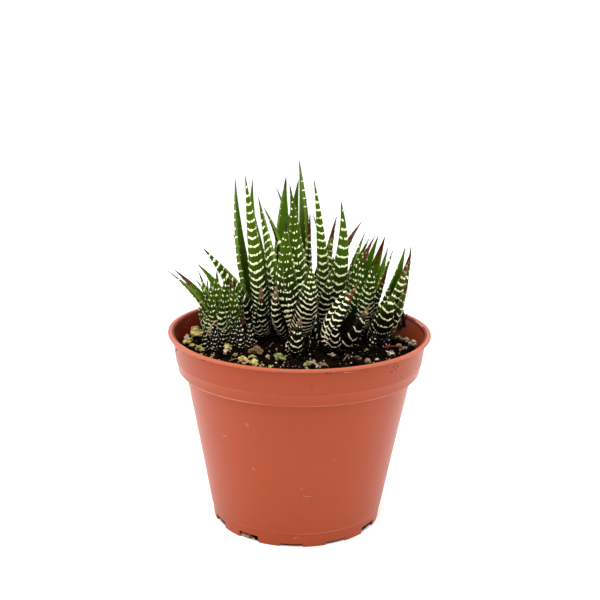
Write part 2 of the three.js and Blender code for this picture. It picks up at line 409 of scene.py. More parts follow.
def specks_group():
    """A mask of small scattered specks, a few to each cell of a loose grid."""
    sockets = [
        ("Scale", "NodeSocketFloat", 300.0),
        ("Size", "NodeSocketFloat", 0.1),
        ("Share", "NodeSocketFloat", 0.2),
    ]
    group, entry, leave = new_group("specks", sockets, [("Mask", "NodeSocketFloat")])
    nodes = Nodes(group)
    cells = nodes.cells(nodes.place(), 1.0)
    nodes.link(entry.outputs["Scale"], cells.inputs["Scale"])
    near = nodes.math("LESS_THAN", cells.outputs["Distance"], entry.outputs["Size"])
    split = nodes.add("ShaderNodeSeparateColor")
    nodes.link(cells.outputs["Color"], split.inputs["Color"])
    chosen = nodes.math("LESS_THAN", split.outputs["Red"], entry.outputs["Share"])
    nodes.link(nodes.times(near, chosen), leave.inputs["Mask"])
    return group


UNEVEN = uneven_colour_group()
SPECKS = specks_group()


def uneven(nodes, colour, scale, amount):
    node = nodes.add("ShaderNodeGroup", node_tree=UNEVEN)
    nodes.feed(node.inputs["Colour"], colour)
    node.inputs["Scale"].default_value = scale
    node.inputs["Amount"].default_value = amount
    return node.outputs["Colour"]


def specks(nodes, scale, size, share):
    node = nodes.add("ShaderNodeGroup", node_tree=SPECKS)
    node.inputs["Scale"].default_value = scale
    node.inputs["Size"].default_value = size
    node.inputs["Share"].default_value = share
    return node.outputs["Mask"]


print("groups:", [group.name for group in bpy.data.node_groups])

# %% [markdown]
# ## The pot
#
# The real pot is injection moulded from thin plastic: a tapered wall, a collar that stiffens the rim, a thin
# lip that the stacked pots separate by, and a foot ring with notches for drainage. The solid could be
# bevelled, but its many small triangles would show, so the pot is turned again from one half outline, with
# more steps and with rounded edges that catch the light.

# %% Outline of the pot
RIM = 52.5
HEIGHT = 78.6
FOOT = 34.3
WALL = 1.0
COLLAR = 63.4

pot_outline = [
    (0, 1.6),
    (6.0, 1.6),
    (6.4, 1.3),
    (7.0, 1.6),
    (FOOT - 2.6, 1.6),
    (FOOT - 2.2, 0.15),
    (FOOT - 2.0, 0),
    (FOOT - 0.15, 0),
    (FOOT, 0.15),
    (FOOT + 0.62, 5.6),
    (FOOT + 0.95, 5.9),
    (FOOT + 1.05, 6.4),
    (FOOT + 5.5, 31.0),
    (FOOT + 11.3, COLLAR - 1.0),
    (FOOT + 11.8, COLLAR - 0.55),
    (RIM - 4.3, COLLAR - 0.1),
    (RIM - 3.95, COLLAR + 0.2),
    (RIM - 3.25, COLLAR + 3.9),
    (RIM - 3.02, COLLAR + 4.3),
    (RIM - 2.98, COLLAR + 4.6),
    (RIM - 1.85, HEIGHT - 1.45),
    (RIM - 1.6, HEIGHT - 1.15),
    (RIM - 0.35, HEIGHT - 1.05),
    (RIM - 0.05, HEIGHT - 0.8),
    (RIM, HEIGHT - 0.45),
    (RIM - 0.12, HEIGHT - 0.12),
    (RIM - 0.45, HEIGHT),
    (RIM - 1.6, HEIGHT - 0.05),
    (RIM - 2.4, HEIGHT - 0.35),
    (RIM - 2.85, HEIGHT - 1.3),
    (RIM - 3.1 - WALL, COLLAR + 4.4),
    (RIM - 4.9, COLLAR + 1.3),
    (FOOT + 10.4, COLLAR + 0.2),
    (FOOT - 0.1, 6.0),
    (FOOT - 1.0, 2.8),
    (FOOT - 1.6, 2.5),
    (0, 2.5),
]
pot = turned("pot_shell", pot_outline, 144)
print("pot outline has", len(pot_outline), "points")

# %% [markdown]
# Water leaves the pot through notches in its foot. They stand at twelve even places, in pairs: two deep ones
# that open through the floor's edge, then two shallow ones. Faces could be pushed in one by one, but that
# leaves ragged corners, so blocks with rounded edges, like those of the mould, cut all of them at once.

# %% Notches in the foot
NOTCHES = 12
FIRST_NOTCH = -92.6
NOTCH_ARC = 15.0


def notch_block(index):
    drains = (index + 2) % 4 < 2
    inner = FOOT - (4.4 if drains else 3.2)
    height = 2.8 if drains else 1.3
    outer = FOOT + 5
    width = 2 * FOOT * math.sin(math.radians(NOTCH_ARC / 2))
    fresh()
    bpy.ops.mesh.primitive_cube_add(size=1)
    block = bpy.context.object
    block.scale = Vector((outer - inner, width, height + 3)) * MM
    block.location = Vector(((outer + inner) / 2, 0, (height - 3) / 2)) * MM
    settle(block)
    corner = block.modifiers.new("corner", "BEVEL")
    corner.width = 0.5 * MM
    corner.segments = 3
    apply_all(block)
    block.data.transform(Matrix.Rotation(math.radians(FIRST_NOTCH + index * 360 / NOTCHES), 4, "Z"))
    return block


blocks = joined([notch_block(i) for i in range(NOTCHES)], "notch_blocks")
cut = pot.modifiers.new("notches", "BOOLEAN")
cut.operation = "DIFFERENCE"
cut.solver = "EXACT"
cut.object = blocks
apply_all(pot)
bpy.data.objects.remove(blocks)
print("foot cut with", NOTCHES, "notches")

# %% [markdown]
# A thin pot is never truly round: its rim goes slightly oval when it is filled. A lattice could bend it, but
# a formula keeps the circle smooth: the points move out and in by about a quarter of a millimetre at the
# rim, and less and less towards the foot.

# %% Soft wobble of the rim
def out_of_round(angle):
    return 0.22 * np.sin(2 * angle + 0.6) + 0.1 * np.sin(3 * angle + 2.0) + 0.05 * np.sin(7 * angle)


places = points_of(pot)
angle = np.arctan2(places[:, 1], places[:, 0])
radius = np.hypot(places[:, 0], places[:, 1])
lift = np.clip(places[:, 2] / (HEIGHT * MM), 0, 1) ** 2
scale = 1 + np.where(radius > 0.02, out_of_round(angle) * MM * lift / np.maximum(radius, 0.02), 0)
places[:, 0] *= scale
places[:, 1] *= scale
places[:, 2] += 0.12 * MM * lift * np.sin(2 * angle + 2.2)
set_points(pot, places)
take(pot)
bpy.ops.object.shade_smooth_by_angle(angle=math.radians(28))
print("rim runs from", round(radius.max() / MM, 1), "mm")

# %% [markdown]
# ### Plastic
#
# The plastic is a dull terracotta orange with a satin face. Up close it has faint clouds in the colour, rub
# marks that are a little paler, and crumbs of soil stuck below the lip. The crumbs thin out away from the
# rim, so their mask is faded by height. Pale lines of painted highlight run round the pot at its foot step
# and at the two steps of its collar, a dark line of painted shade runs in the crease under the lip, and the
# top of the lip is painted paler as a highlight. The inside is painted darker and duller, as shade, so it has
# a second material of the same recipe.


# %% Materials for the pot
# Painted light round the pot: pale lines of painted highlight at the collar's two steps and at the foot step,
# and a dark line of painted shade in the crease under the lip.
PAINTED_RING_LIGHT_AND_SHADE = [
    (COLLAR, 0.4, srgb(232, 168, 142), 0.4),
    (COLLAR + 4.35, 0.25, srgb(222, 150, 122), 0.14),
    (6.1, 0.3, srgb(214, 140, 112), 0.2),
    (HEIGHT - 1.45, 0.4, srgb(96, 34, 18), 0.6),
]


def rim_dirt(nodes, place, height):
    """Crumbs in patches below the rim, and a few specks anywhere."""
    near_rim = nodes.ramp(height, 58 * MM, 76 * MM)
    patches = nodes.ramp(nodes.noise(place, 45.0, 2.0), 0.5, 0.62)
    crumbs = nodes.times(specks(nodes, 420.0, 0.22, 0.16), nodes.times(near_rim, patches))
    few = nodes.times(specks(nodes, 90.0, 0.035, 0.18), 0.9)
    return nodes.math("MAXIMUM", crumbs, few)


def plastic_material(name, base, gloss, lip_highlight_share):
    material, nodes, shader = new_material(name, 0.42, gloss)
    place = nodes.place()
    height = nodes.height_of(place)
    colour = uneven(nodes, uneven(nodes, base, 45.0, 0.05), 400.0, 0.04)
    rubbed = nodes.ramp(nodes.noise(place, 70.0, 6.0, 0.65), 0.60, 0.78)
    colour = nodes.mix(nodes.times(rubbed, 0.22), colour, srgb(176, 104, 76))
    # Painted highlight: the top of the lip is painted paler, where it catches the light.
    lip_highlight_mask = nodes.ramp(height, (HEIGHT - 1.3) * MM, (HEIGHT - 0.5) * MM)
    colour = nodes.mix(nodes.times(lip_highlight_mask, lip_highlight_share), colour, srgb(190, 104, 76))
    # Noise breaks up the painted highlight and shade lines.
    patchy_lines = nodes.ramp(nodes.noise(place, 38.0, 3.0), 0.38, 0.62, 0.15, 1.0)
    for ring, half, tone, share in PAINTED_RING_LIGHT_AND_SHADE:
        away = nodes.math("ABSOLUTE", nodes.math("SUBTRACT", height, ring * MM))
        line = nodes.ramp(away, half * 0.4 * MM, half * MM, share, 0.0)
        colour = nodes.mix(nodes.times(line, patchy_lines), colour, tone)
    pale = nodes.times(specks(nodes, 160.0, 0.05, 0.3), 0.55)
    colour = nodes.mix(pale, colour, srgb(226, 190, 170))
    colour = nodes.mix(rim_dirt(nodes, place, height), colour, srgb(62, 26, 20))
    nodes.link(colour, shader.inputs["Base Color"])
    nodes.link(nodes.ramp(rubbed, 0.0, 1.0, 0.40, 0.56), shader.inputs["Roughness"])
    grain = nodes.bump(nodes.noise(place, 900.0, 3.0), 0.12, 0.2 * MM)
    nodes.link(grain, shader.inputs["Normal"])
    return material


PLASTIC = plastic_material("terracotta_plastic", srgb(148, 59, 24), 0.21, 0.5)
# A darker, duller copy of the plastic for the inside: painted shade.
PLASTIC_SHADED_INSIDE = plastic_material("terracotta_inside_painted_shade", srgb(104, 26, 5), 0.06, 0.0)
show_with(pot, PLASTIC)
pot.data.materials.append(PLASTIC_SHADED_INSIDE)
# Faces inside the wall above the soil take the painted shade copy.
INSIDE_FROM = 60
INSIDE_BY = 1.7
wall_heights = [0, COLLAR - 1, COLLAR, HEIGHT]
wall_radii = [FOOT, FOOT + 11.3, RIM - 4.3, RIM]
for face in pot.data.polygons:
    x, y, z = face.center / MM
    outside = np.interp(z, wall_heights, wall_radii)
    face.material_index = int(z > INSIDE_FROM and math.hypot(x, y) < outside - INSIDE_BY)
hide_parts("pot")

# %% [markdown]
# ## The leaves
#
# A haworthia leaf is a narrow, thick wedge that tapers to a sharp tip. Its inner face is smooth and nearly
# flat. Its back is rounded and carries white bands, which are rows of small hard bumps that have grown
# together. Each leaf below is one row: the way its back faces, where its tip is, how wide its foot is, how
# far its middle bows, and whether its tip is dark, red or dry. The solid leaves have the same rows. Their
# numbers come in part from a fit of the leaves to the photo through the camera, and in part from changes
# made one by one.

# %% Rows of leaves
DARK = 0
RED = 1
DRY = 2

ROSETTES = {
    "rosette_left": {
        "heart": (-31.5, 8.5),
        "core": 8,
        "leaves": [
            (-160, -52, -12, 105, 5.5, 12, -1, DARK),
            (175, -50.5, -2, 103, 6, 11, -1, RED),
            (-140, -41.5, -4, 99.5, 5.5, 8, -1, DARK),
            (-170, -41.5, 4, 102, 5.5, 5, -2, DARK),
            (120, -43.5, 20, 100.5, 5.5, 12, 0, DARK),
            (-115, -35.5, -2, 98, 5, -1, -2, DARK),
            (-150, -37, 2, 98, 5.5, -1, -1, DARK),
            (-35, -24.5, 1, 97, 5.5, 2, -1, DARK),
            (-130, -33.5, 4, 101.5, 6, 1, -1, DARK),
            (-70, -28.5, -1, 101.5, 5, 5, -2, RED),
            (-85, -30, -2, 102, 5, 1, -3, DARK),
            (-105, -34.5, -5, 96, 5.5, -2, -3, DARK),
            (-125, -37, -4, 93, 5, -2, -2, DARK),
            (-95, -30.5, -5, 92.5, 5, 0, -3, DARK),
            (60, -31, 20, 94, 7, 1, 3, DARK),
            (95, -40, 28, 89, 6, -1, 2, DARK),
            (-80, -30, -3, 86.5, 6, 0, -1, DARK),
            (-115, -35.5, -2.5, 87, 6, 0, -1, DARK),
            (-150, -41, 3, 87, 5, 0, 0, DARK),
            (-40, -23.5, 0, 87, 5.5, 0, 0, DARK),
        ],
    },
    "rosette_centre_left": {
        "heart": (-14, 9),
        "core": 5.2,
        "leaves": [
            (-130, -39.5, 8, 109.5, 8, 5, 0, DARK),
            (155, -27, 17, 136.5, 7, -4, 2, DARK),
            (-95, -22.5, 6, 139.5, 6, 0, -4, DARK),
            (60, -20, 17, 136.5, 6, -6, 2, DARK),
            (160, -28.5, 22, 113.5, 5.5, 3, 1, DARK),
            (-95, -15.5, -4, 98, 5, -0.5, -3, DRY),
            (100, -21, 29, 124, 7.5, 1, 3, DARK),
            (-145, -22, 1, 91, 5.5, -2, -1, DARK),
            (125, -26, 30, 98, 7, 0, 2, DARK),
            (-115, -18.5, -2, 88, 5, 0, -1, DARK),
            (175, -23.5, 9, 90, 5.5, -1, 0, DARK),
            (-165, -21.8, 5, 84.5, 5, -1, 0, DARK),
        ],
    },
    "rosette_centre": {
        "heart": (-2.5, 5),
        "core": 6,
        "leaves": [
            (130, -6.5, 16, 138, 9, -3, 3, DARK),
            (175, -15.5, 12, 126, 9, 12, 0, DARK),
            (-160, -17.5, 10, 130.5, 8.5, 2, -2, DARK),
            (-135, -9, -5, 98, 6.5, -3.5, -3, DRY),
            (-100, -6, 2, 122, 9.5, -2, -4, DARK),
            (-135, -13, 5, 113, 7.5, 1, -2, DARK),
            (-75, 3.5, -2, 107, 9.5, 4, -5, DARK),
            (10, -6.5, -4, 107, 6, -6, -3, DARK),
            (-90, -5, 8, 136, 7, 4, -1, DARK),
            (50, -3, 18, 122, 7, 3, 2, DARK),
        ],
    },
    "rosette_back": {
        "heart": (-2, 31),
        "core": 6,
        "leaves": [
            (175, -11, 27, 132, 7.5, 12, 0, DARK),
            (115, -1.5, 32, 134.5, 8, -3, 2, DARK),
            (25, -1.5, 27, 143.5, 8.5, 2, 0, DARK),
            (-20, 3.5, 26, 122, 6, 0, -1, RED),
            (60, 0, 40, 122, 8, 3, 2, DARK),
            (140, -6.5, 40, 119, 8, -3, 3, DARK),
            (95, -1.5, 47, 102, 7, 0, 3, RED),
            (30, 7.5, 38, 98, 7, 2, 1, DARK),
            (165, -12.5, 38, 97.5, 7, -2, 1, DARK),
        ],
    },
    "rosette_centre_right": {
        "heart": (8, 20),
        "core": 6,
        "leaves": [
            (-65, 4.5, 13, 138, 5, 3, -3, DARK),
            (5, 14.5, 20, 121.5, 8.5, -6, 0, RED),
            (-75, 15.5, 9, 129.5, 7, 8, -4, DARK),
            (25, 25, 22, 119, 7, -9, 0, RED),
            (165, 4.5, 25, 121.5, 5.5, 10, 0, DARK),
            (80, 10, 33, 109, 7, 0, 2, DARK),
            (-85, 14, 7, 105, 5.5, -1, -3, DARK),
            (55, 14, 34, 101.5, 6.5, 1, 1, DARK),
        ],
    },
    "rosette_right": {
        "heart": (23, 19),
        "core": 6,
        "leaves": [
            (170, 26.5, 20, 115, 7.5, -3, 0, DARK),
            (-150, 28, 14, 114, 6, -5, 0, DARK),
            (-95, 26, 8, 105, 6.5, -1, -2, DARK),
            (-110, 30, 9, 116, 5, -7, -2, RED),
            (115, 32.5, 27, 112.5, 6, -1, 2, DARK),
            (50, 35, 23, 113, 6.5, -1, 2, RED),
            (10, 36, 18, 110, 6, 0, 0, DARK),
            (-15, 38, 15, 109.5, 6, -1, 0, DARK),
            (-50, 35.5, 11, 101.5, 6, 0, 0, RED),
            (-80, 29, 7, 105, 7.5, 2, -3, DARK),
            (-165, 21, 12, 104, 7.5, 3, -1, DARK),
            (90, 30, 36, 98, 7, 0, 2, DARK),
        ],
    },
    "rosette_far_right": {
        "heart": (32, 10),
        "core": 5.5,
        "leaves": [
            (115, 42, 9, 111.5, 5.5, 3, 0, DARK),
            (-15, 44.5, 11, 112.5, 5.5, 3, -1, RED),
            (-70, 43, 4, 108.5, 5, 1, -1, RED),
            (-35, 43, 0, 100.5, 5.5, 1, -2, RED),
            (-100, 36, 1, 97, 6, -1, -2, DARK),
            (-80, 38, 0, 95.5, 8.5, -2, -2.5, DARK),
            (80, 42, 22, 97, 6, 2, 2, DARK),
            (-115, 32, 0, 87, 5.5, -1, -1, DARK),
        ],
    },
    "rosette_front_right": {
        "heart": (13.5, -6.5),
        "core": 5.5,
        "leaves": [
            (-125, 23, -7, 100, 5.5, -3.5, -4, RED),
            (-45, 27.5, -7, 91.5, 6, 1, -3, DRY),
            (-145, 19.5, -4, 98, 6, -4, -2, DARK),
            (50, 23, 0, 90, 6, 1, 1, DARK),
            (170, 7, -5, 88, 5.5, -1, -1, DARK),
            (-85, 14, -13, 85, 5, 0, -1, DARK),
        ],
    },
    "rosette_front": {
        "heart": (-0.8, -14),
        "core": 4,
        "leaves": [
            (-95, 0.5, -16.5, 88.5, 5.5, -1, -1, DRY),
            (-160, -4.3, -16.5, 79.5, 4, 0, 0, DARK),
            (30, 3.2, -12.5, 81, 4, 1, 0, DARK),
        ],
    },
}
print(sum(len(rosette["leaves"]) for rosette in ROSETTES.values()), "leaves")

# %% [markdown]
# The leaf is modelled once as a straight tube: a ring that is extruded many times, with a face at its foot
# and its last ring drawn together to a point. Each leaf is a copy of that tube with its own mesh, bent along
# its rib. Modelling each leaf by hand would take a day, and no two would match. Long leaves take a tube with
# more rings, so that the bands keep the same fineness.

# %% Straight leaf tubes
SECTION_POINTS = 30
TUBE_RINGS = (80, 120, 165, 210)
RING_STEP = 0.36


def straight_tube(rings, sides):
    fresh()
    bpy.ops.mesh.primitive_circle_add(vertices=sides, radius=1, fill_type="NOTHING")
    tube = bpy.context.object
    tube.name = "tube_" + str(rings)
    bpy.ops.object.mode_set(mode="EDIT")
    bpy.ops.mesh.select_all(action="SELECT")
    for _ in range(rings):
        bpy.ops.mesh.extrude_region_move(TRANSFORM_OT_translate={"value": (0, 0, 1)})
    bpy.ops.mesh.merge(type="CENTER")
    bpy.ops.mesh.select_all(action="DESELECT")
    mesh = bmesh.from_edit_mesh(tube.data)
    for vertex in mesh.verts:
        vertex.select = vertex.co.z < 0.5
    mesh.select_flush(True)
    bpy.ops.mesh.edge_face_add()
    bpy.ops.mesh.select_all(action="SELECT")
    bpy.ops.mesh.normals_make_consistent(inside=False)
    done()
    return tube


tubes = {rings: straight_tube(rings, SECTION_POINTS) for rings in TUBE_RINGS}
print("tubes with", TUBE_RINGS, "rings")

# %% [markdown]
# ### Bending a leaf
#
# The rib is a smooth curve from the foot, near the rosette's heart, to the tip. At each ring the section is
# set square to the rib, with its rounded side to the back. A Curve modifier could bend the tube, but it
# would twist the sections, and these have to keep their backs turned outwards. The ground's height at the
# rosette's heart decides where the leaf starts.

# %% Ground and rib
SOIL_EDGE = 69.5
SOIL_CROWN = 4.5
SOIL_REACH = 47.8
FOOT_OUT = 0.52
FOOT_LIFT = 0.06
LEAF_DEPTH = 0.38
TIP_DEEPER = 0.14
TAPER = 0.75
SWELL = 2
TIP_FINER = 0.1


def ground(x, y):
    out = min(1, math.hypot(x, y) / SOIL_REACH)
    return SOIL_EDGE + SOIL_CROWN * (1 - out * out)


def rib_of(heart, core, row, t):
    facing, x, y, z, width, bow_x, bow_y, _ = row
    turn = math.radians(facing)
    out = np.array([math.cos(turn), math.sin(turn), 0])
    level = ground(*heart)
    foot = np.array([*heart, level - 1 + FOOT_LIFT * (z - level)]) + FOOT_OUT * core * out
    tip = np.array([x, y, z], float)
    bow = (foot + tip) / 2 + np.array([bow_x, bow_y, 0])
    t = t[:, None]
    middle = (1 - t) ** 2 * foot + 2 * t * (1 - t) * bow + t**2 * tip
    along = 2 * (1 - t) * (bow - foot) + 2 * t * (tip - bow)
    speed = np.linalg.norm(along, axis=1)
    along = along / speed[:, None]
    back = out - along * (along @ out)[:, None]
    back = back / np.linalg.norm(back, axis=1)[:, None]
    return middle, along, back, np.cross(along, back), speed


print("ground is", SOIL_EDGE, "mm up at the wall and", ground(0, 0), "mm in the middle")

# %% [markdown]
# ### Bands
#
# The bands crowd at the foot and spread out towards the tip, so a running count of rows is summed along the
# rib. Each row hangs a little lower in the middle of the back. Within a row the bumps swell and pinch like
# beads; near the tip the pinches close and only dots are left. A bump map alone could draw them, but real
# relief also shows at the edge of a leaf. The same numbers go to the material as attributes, so that the
# white lies exactly on the raised rows.

# %% Sizes of the bands
BAND_HALF = 0.5
BEAD_PITCH = 1.2
BACK_SHARE = 0.7
RELIEF = 0.28
TIGHTEST_PITCH = 1.6
DOT_SIZE = 1.1
GROWN_TOGETHER = (0.7, 0.9, 1.1, 1.4, 1.8)
DOTTED = (0.2, 0.4, 0.6, 0.9)
LEAST_FUSED = 0.1
MOST_FUSED = 0.86
print("rows at least", TIGHTEST_PITCH, "mm apart, beads", BEAD_PITCH, "mm apart, relief", RELIEF, "mm")

# %% [markdown]
# Most leaves follow one rule. A few differ in the photo, and they are named here: rosettes and leaves with
# dots in place of bars, leaves with unbroken bars, and rows closer together or further apart. The skin turns
# from nearly black to green at its own height in each rosette: the dark is partly the real dark of old leaf
# bases and partly painted shade deep in the clump. The bands reach their full size some millimetres above
# the ground.

# %% Leaves that differ
DOTTED_ROSETTES = ("rosette_left", "rosette_right")
DOTTED_LEAVES = ["rosette_back" + str(index) for index in (0, 1, 2)]
DOTTED_LEAVES += ["rosette_centre" + str(index) for index in (0, 4, 5, 8)]
FULL_BARS = ("rosette_centre_left2", "rosette_centre_right0")
SPREAD = {
    "rosette_centre_left2": 0.92,
    "rosette_centre_right0": 0.88,
    "rosette_centre6": 0.68,
    "rosette_front_right1": 1.6,
    "rosette_front_right3": 1.35,
    "rosette_far_right5": 1.25,
}
SHADE = {"rosette_centre_right0": 0.9, "rosette_centre_right2": 0.85}
BARE_FOOT = {"rosette_left": 4, "rosette_right": 5, "rosette_far_right": 10, "rosette_centre": 6}
# Heights where the dark of old bases and the painted shade of the clump give way to green.
GREEN_FROM = {
    "rosette_left": 91,
    "rosette_centre_left": 106,
    "rosette_centre": 111,
    "rosette_back": 112,
    "rosette_centre_right": 105,
    "rosette_right": 98,
    "rosette_far_right": 102,
    "rosette_front_right": 108,
    "rosette_front": 103,
}
print(len(DOTTED_LEAVES) + len(FULL_BARS), "leaves have bands of their own")

# %% [markdown]
# The rows could be set at even steps, but on the plant they crowd at the foot. So the step between rows is a
# curve along the rib, and adding up its inverse gives the count of rows below any point.


# %% Counting the rows
def rising(value, low, high):
    """0 below the low value, 1 above the high one, and straight between them."""
    return np.clip((value - low) / (high - low), 0, 1)


def row_pitch(t, length, spread):
    """Millimetres between the rows: tight at the foot, wider on a long leaf's upper half."""
    wide = 1.5 + 0.03 * length
    rise = rising(t, 0.08, 0.5)
    return spread * (TIGHTEST_PITCH + (wide - TIGHTEST_PITCH) * rise * rise * (3 - 2 * rise))


def running_rows(heart, core, row, length, spread):
    """Places along the rib and the number of rows below each."""
    steps = np.linspace(0, 1, 200)
    speed = rib_of(heart, core, row, steps)[4]
    rate = speed / row_pitch(steps, length, spread)
    total = np.concatenate([[0], np.cumsum((rate[1:] + rate[:-1]) / 2 * np.diff(steps))])
    return steps, total


def counted_rows(luck, run, slope, t, across, cosine, wide):
    """The running count at each point: a row's line is where it is halfway between whole numbers."""
    hang = luck["hang"] * wide * (1 - cosine**2) * (1.5 - 0.8 * t)
    ripple = 0.16 * np.sin(1.3 * across + luck["ripple"] + 14 * t) + 0.1 * np.sin(3.1 * across + 23 * t)
    return np.interp(t, np.unique(t), run) + (hang + ripple) / slope + luck["start"]


sample = np.array([0, 0.5, 1])
print("mm between rows at the foot, middle and tip:", np.round(row_pitch(sample, 70, 1), 2))

# %% [markdown]
# Luck makes each leaf its own. All of a leaf's draws are made in one place, from a seed that is the leaf's
# name, so that a change to one leaf leaves the others as they are.


# %% Luck of a leaf
def luck_of(seed, dotted):
    draw = random.Random(seed)
    luck = {"hang": draw.uniform(0.15, 0.27), "ripple": draw.uniform(0, 6)}
    luck["spread"] = SPREAD.get(seed, draw.uniform(0.72, 0.98) if dotted else draw.uniform(0.85, 1.15))
    luck["start"] = draw.uniform(0, 1)
    luck["grown"] = draw.choice(DOTTED if dotted else GROWN_TOGETHER)
    if seed in FULL_BARS:
        luck["grown"] = max(GROWN_TOGETHER)
    for use in ("fusing", "ends", "dots"):
        luck[use] = draw.uniform(0, 6)
    luck["shade"] = SHADE.get(seed, draw.uniform(0, 1))
    return luck


def bead_phase(row):
    """Shifts the beads of each row against the row below."""
    return np.mod(np.floor(row) * 0.618, 1)


def scrambled(value):
    return np.mod(np.sin(value) * 437.5, 1)


def bar_ends(row, margin, seed):
    """Pinches most rows once near their ends: bars of different lengths, with a loose dot outside."""
    luck = scrambled(np.floor(row) * 12.99 + seed)
    reach = np.where(luck < 0.35, 2.0, 0.5 + 0.44 * luck)
    return np.clip(np.abs(margin - reach) / 0.07 - 0.35, 0, 1)


def dot_luck(row, across, seed):
    """Another size for each dot of a row."""
    dot = np.round(across / BEAD_PITCH + bead_phase(row))
    return scrambled(np.floor(row) * 41.3 + dot * 78.2 + seed)


some_luck = luck_of("rosette_centre2", False)
print("one leaf's luck:", {use: round(value, 2) for use, value in some_luck.items()})

# %% [markdown]
# Low on a leaf the bumps have grown into bars, and higher up the bars break into dots. The rows thin out
# near the ground and stop short of the margins there. The inner face is smooth, but for a few dots along its
# margins. Two shares, one for how far a row is fused and one for how thick it is, say all of this.


# %% How far a row is fused, and how thick
def fused_share(luck, t, across, inner):
    """Near 1 where the bumps of a row have grown into a bar, and near 0 where they stand as dots."""
    fused = np.clip(luck["grown"] - 1.6 * (t - 0.45), LEAST_FUSED, MOST_FUSED)
    fused = fused + 0.3 * np.sin(1.7 * across + 31 * t + luck["fusing"]) * np.clip(4 * t - 0.6, 0, 1)
    return np.where(inner > 0.5, LEAST_FUSED, np.clip(fused, LEAST_FUSED, MOST_FUSED))


def row_thickness(luck, seed, dotted, t, margin, inner, above, count):
    """Thin near the ground, short of the margins low down, and bare on the middle of the inner face."""
    thick = 0.5 + 0.5 * rising(above, 5, 27)
    thick = (thick + (0.3 if dotted else 0.0) * (1 - t)) * min(1, 0.3 + 0.75 * luck["spread"])
    thick = thick * bar_ends(count, margin, luck["ends"])
    low = 1 - rising(above, 12, 34)
    thick = thick * (1 - low * rising(margin, 0.84, 0.94))
    if seed in DOTTED_LEAVES:
        thick = thick * (1 - 0.45 * rising(t, 0.45, 0.75))
    return np.where(inner > 0.5, thick * rising(margin, 0.7, 0.9), thick)


shares = fused_share(some_luck, sample, 0 * sample, 0 * sample)
print("fused at the foot, middle and tip:", np.round(shares, 2))

# %% [markdown]
# A leaf's section is a rounded back and a nearly flat inner face. The leaf swells a little above its foot
# and then tapers to a fine tip. Even spacing would waste points on the smooth face, so most of a ring's
# points are spread over the back, where the bands are. Width and depth follow the solid leaf's formula, but
# the depth grows a little towards the tip, and the tip is finer.


# %% Section of a leaf
def section_turn(tube):
    """The angle of each point of a ring, with most of the points on the leaf's back."""
    share = np.mod(np.arctan2(tube[:, 1], tube[:, 0]) / (2 * math.pi), 1)
    on_back = share <= BACK_SHARE
    back = share / BACK_SHARE
    level = 0.5 * np.cos(math.pi * back) + 0.5 * (1 - 2 * back)
    front = math.pi * (1 + (share - BACK_SHARE) / (1 - BACK_SHARE))
    return np.where(on_back, np.arccos(np.clip(level, -1, 1)), front)


def section_size(width, t):
    wide = width * (1 - t) ** TAPER * (1 + SWELL * t * (1 - t)) * (1 - TIP_FINER * rising(t, 0.8, 1))
    return wide, wide * (LEAF_DEPTH + TIP_DEEPER * t * t)


def section_rise(sine):
    """How far out each point lies, in leaf depths: a rounded back and a nearly flat inner face."""
    rounded = np.abs(sine)
    return np.where(sine > -0.02, rounded**0.72, 0.2 * rounded**4 - 0.1 * rounded**0.5)


def row_height(fused, thick, bead_at, count, slope, wide, sine):
    """The relief in millimetres. A row is broken where its half width falls below 0."""
    bead = np.cos(2 * math.pi * (bead_at / BEAD_PITCH + bead_phase(count)))
    half = BAND_HALF * (fused + (1 - fused) * bead) * thick
    off_line = np.abs(np.mod(count, 1) - 0.5) * slope
    swell = np.sqrt(np.clip(1 - (off_line / np.maximum(half, 0.01)) ** 2, 0, 1)) * (half > 0)
    return RELIEF * swell * np.clip(wide / 2.5, 0, 1) * np.where(sine > -0.02, 1.0, 0.5)


print("a leaf of 10 mm is this wide at its foot, middle and tip:", np.round(section_size(10, sample)[0], 1))

# %% [markdown]
# With all its parts named, a leaf is quickly made: a copy of the tube is bent along its rib, given its
# section and relief, and told the numbers that its material will read. Merging the last ring can leave its
# point a hair above that ring, so t is held to 1.


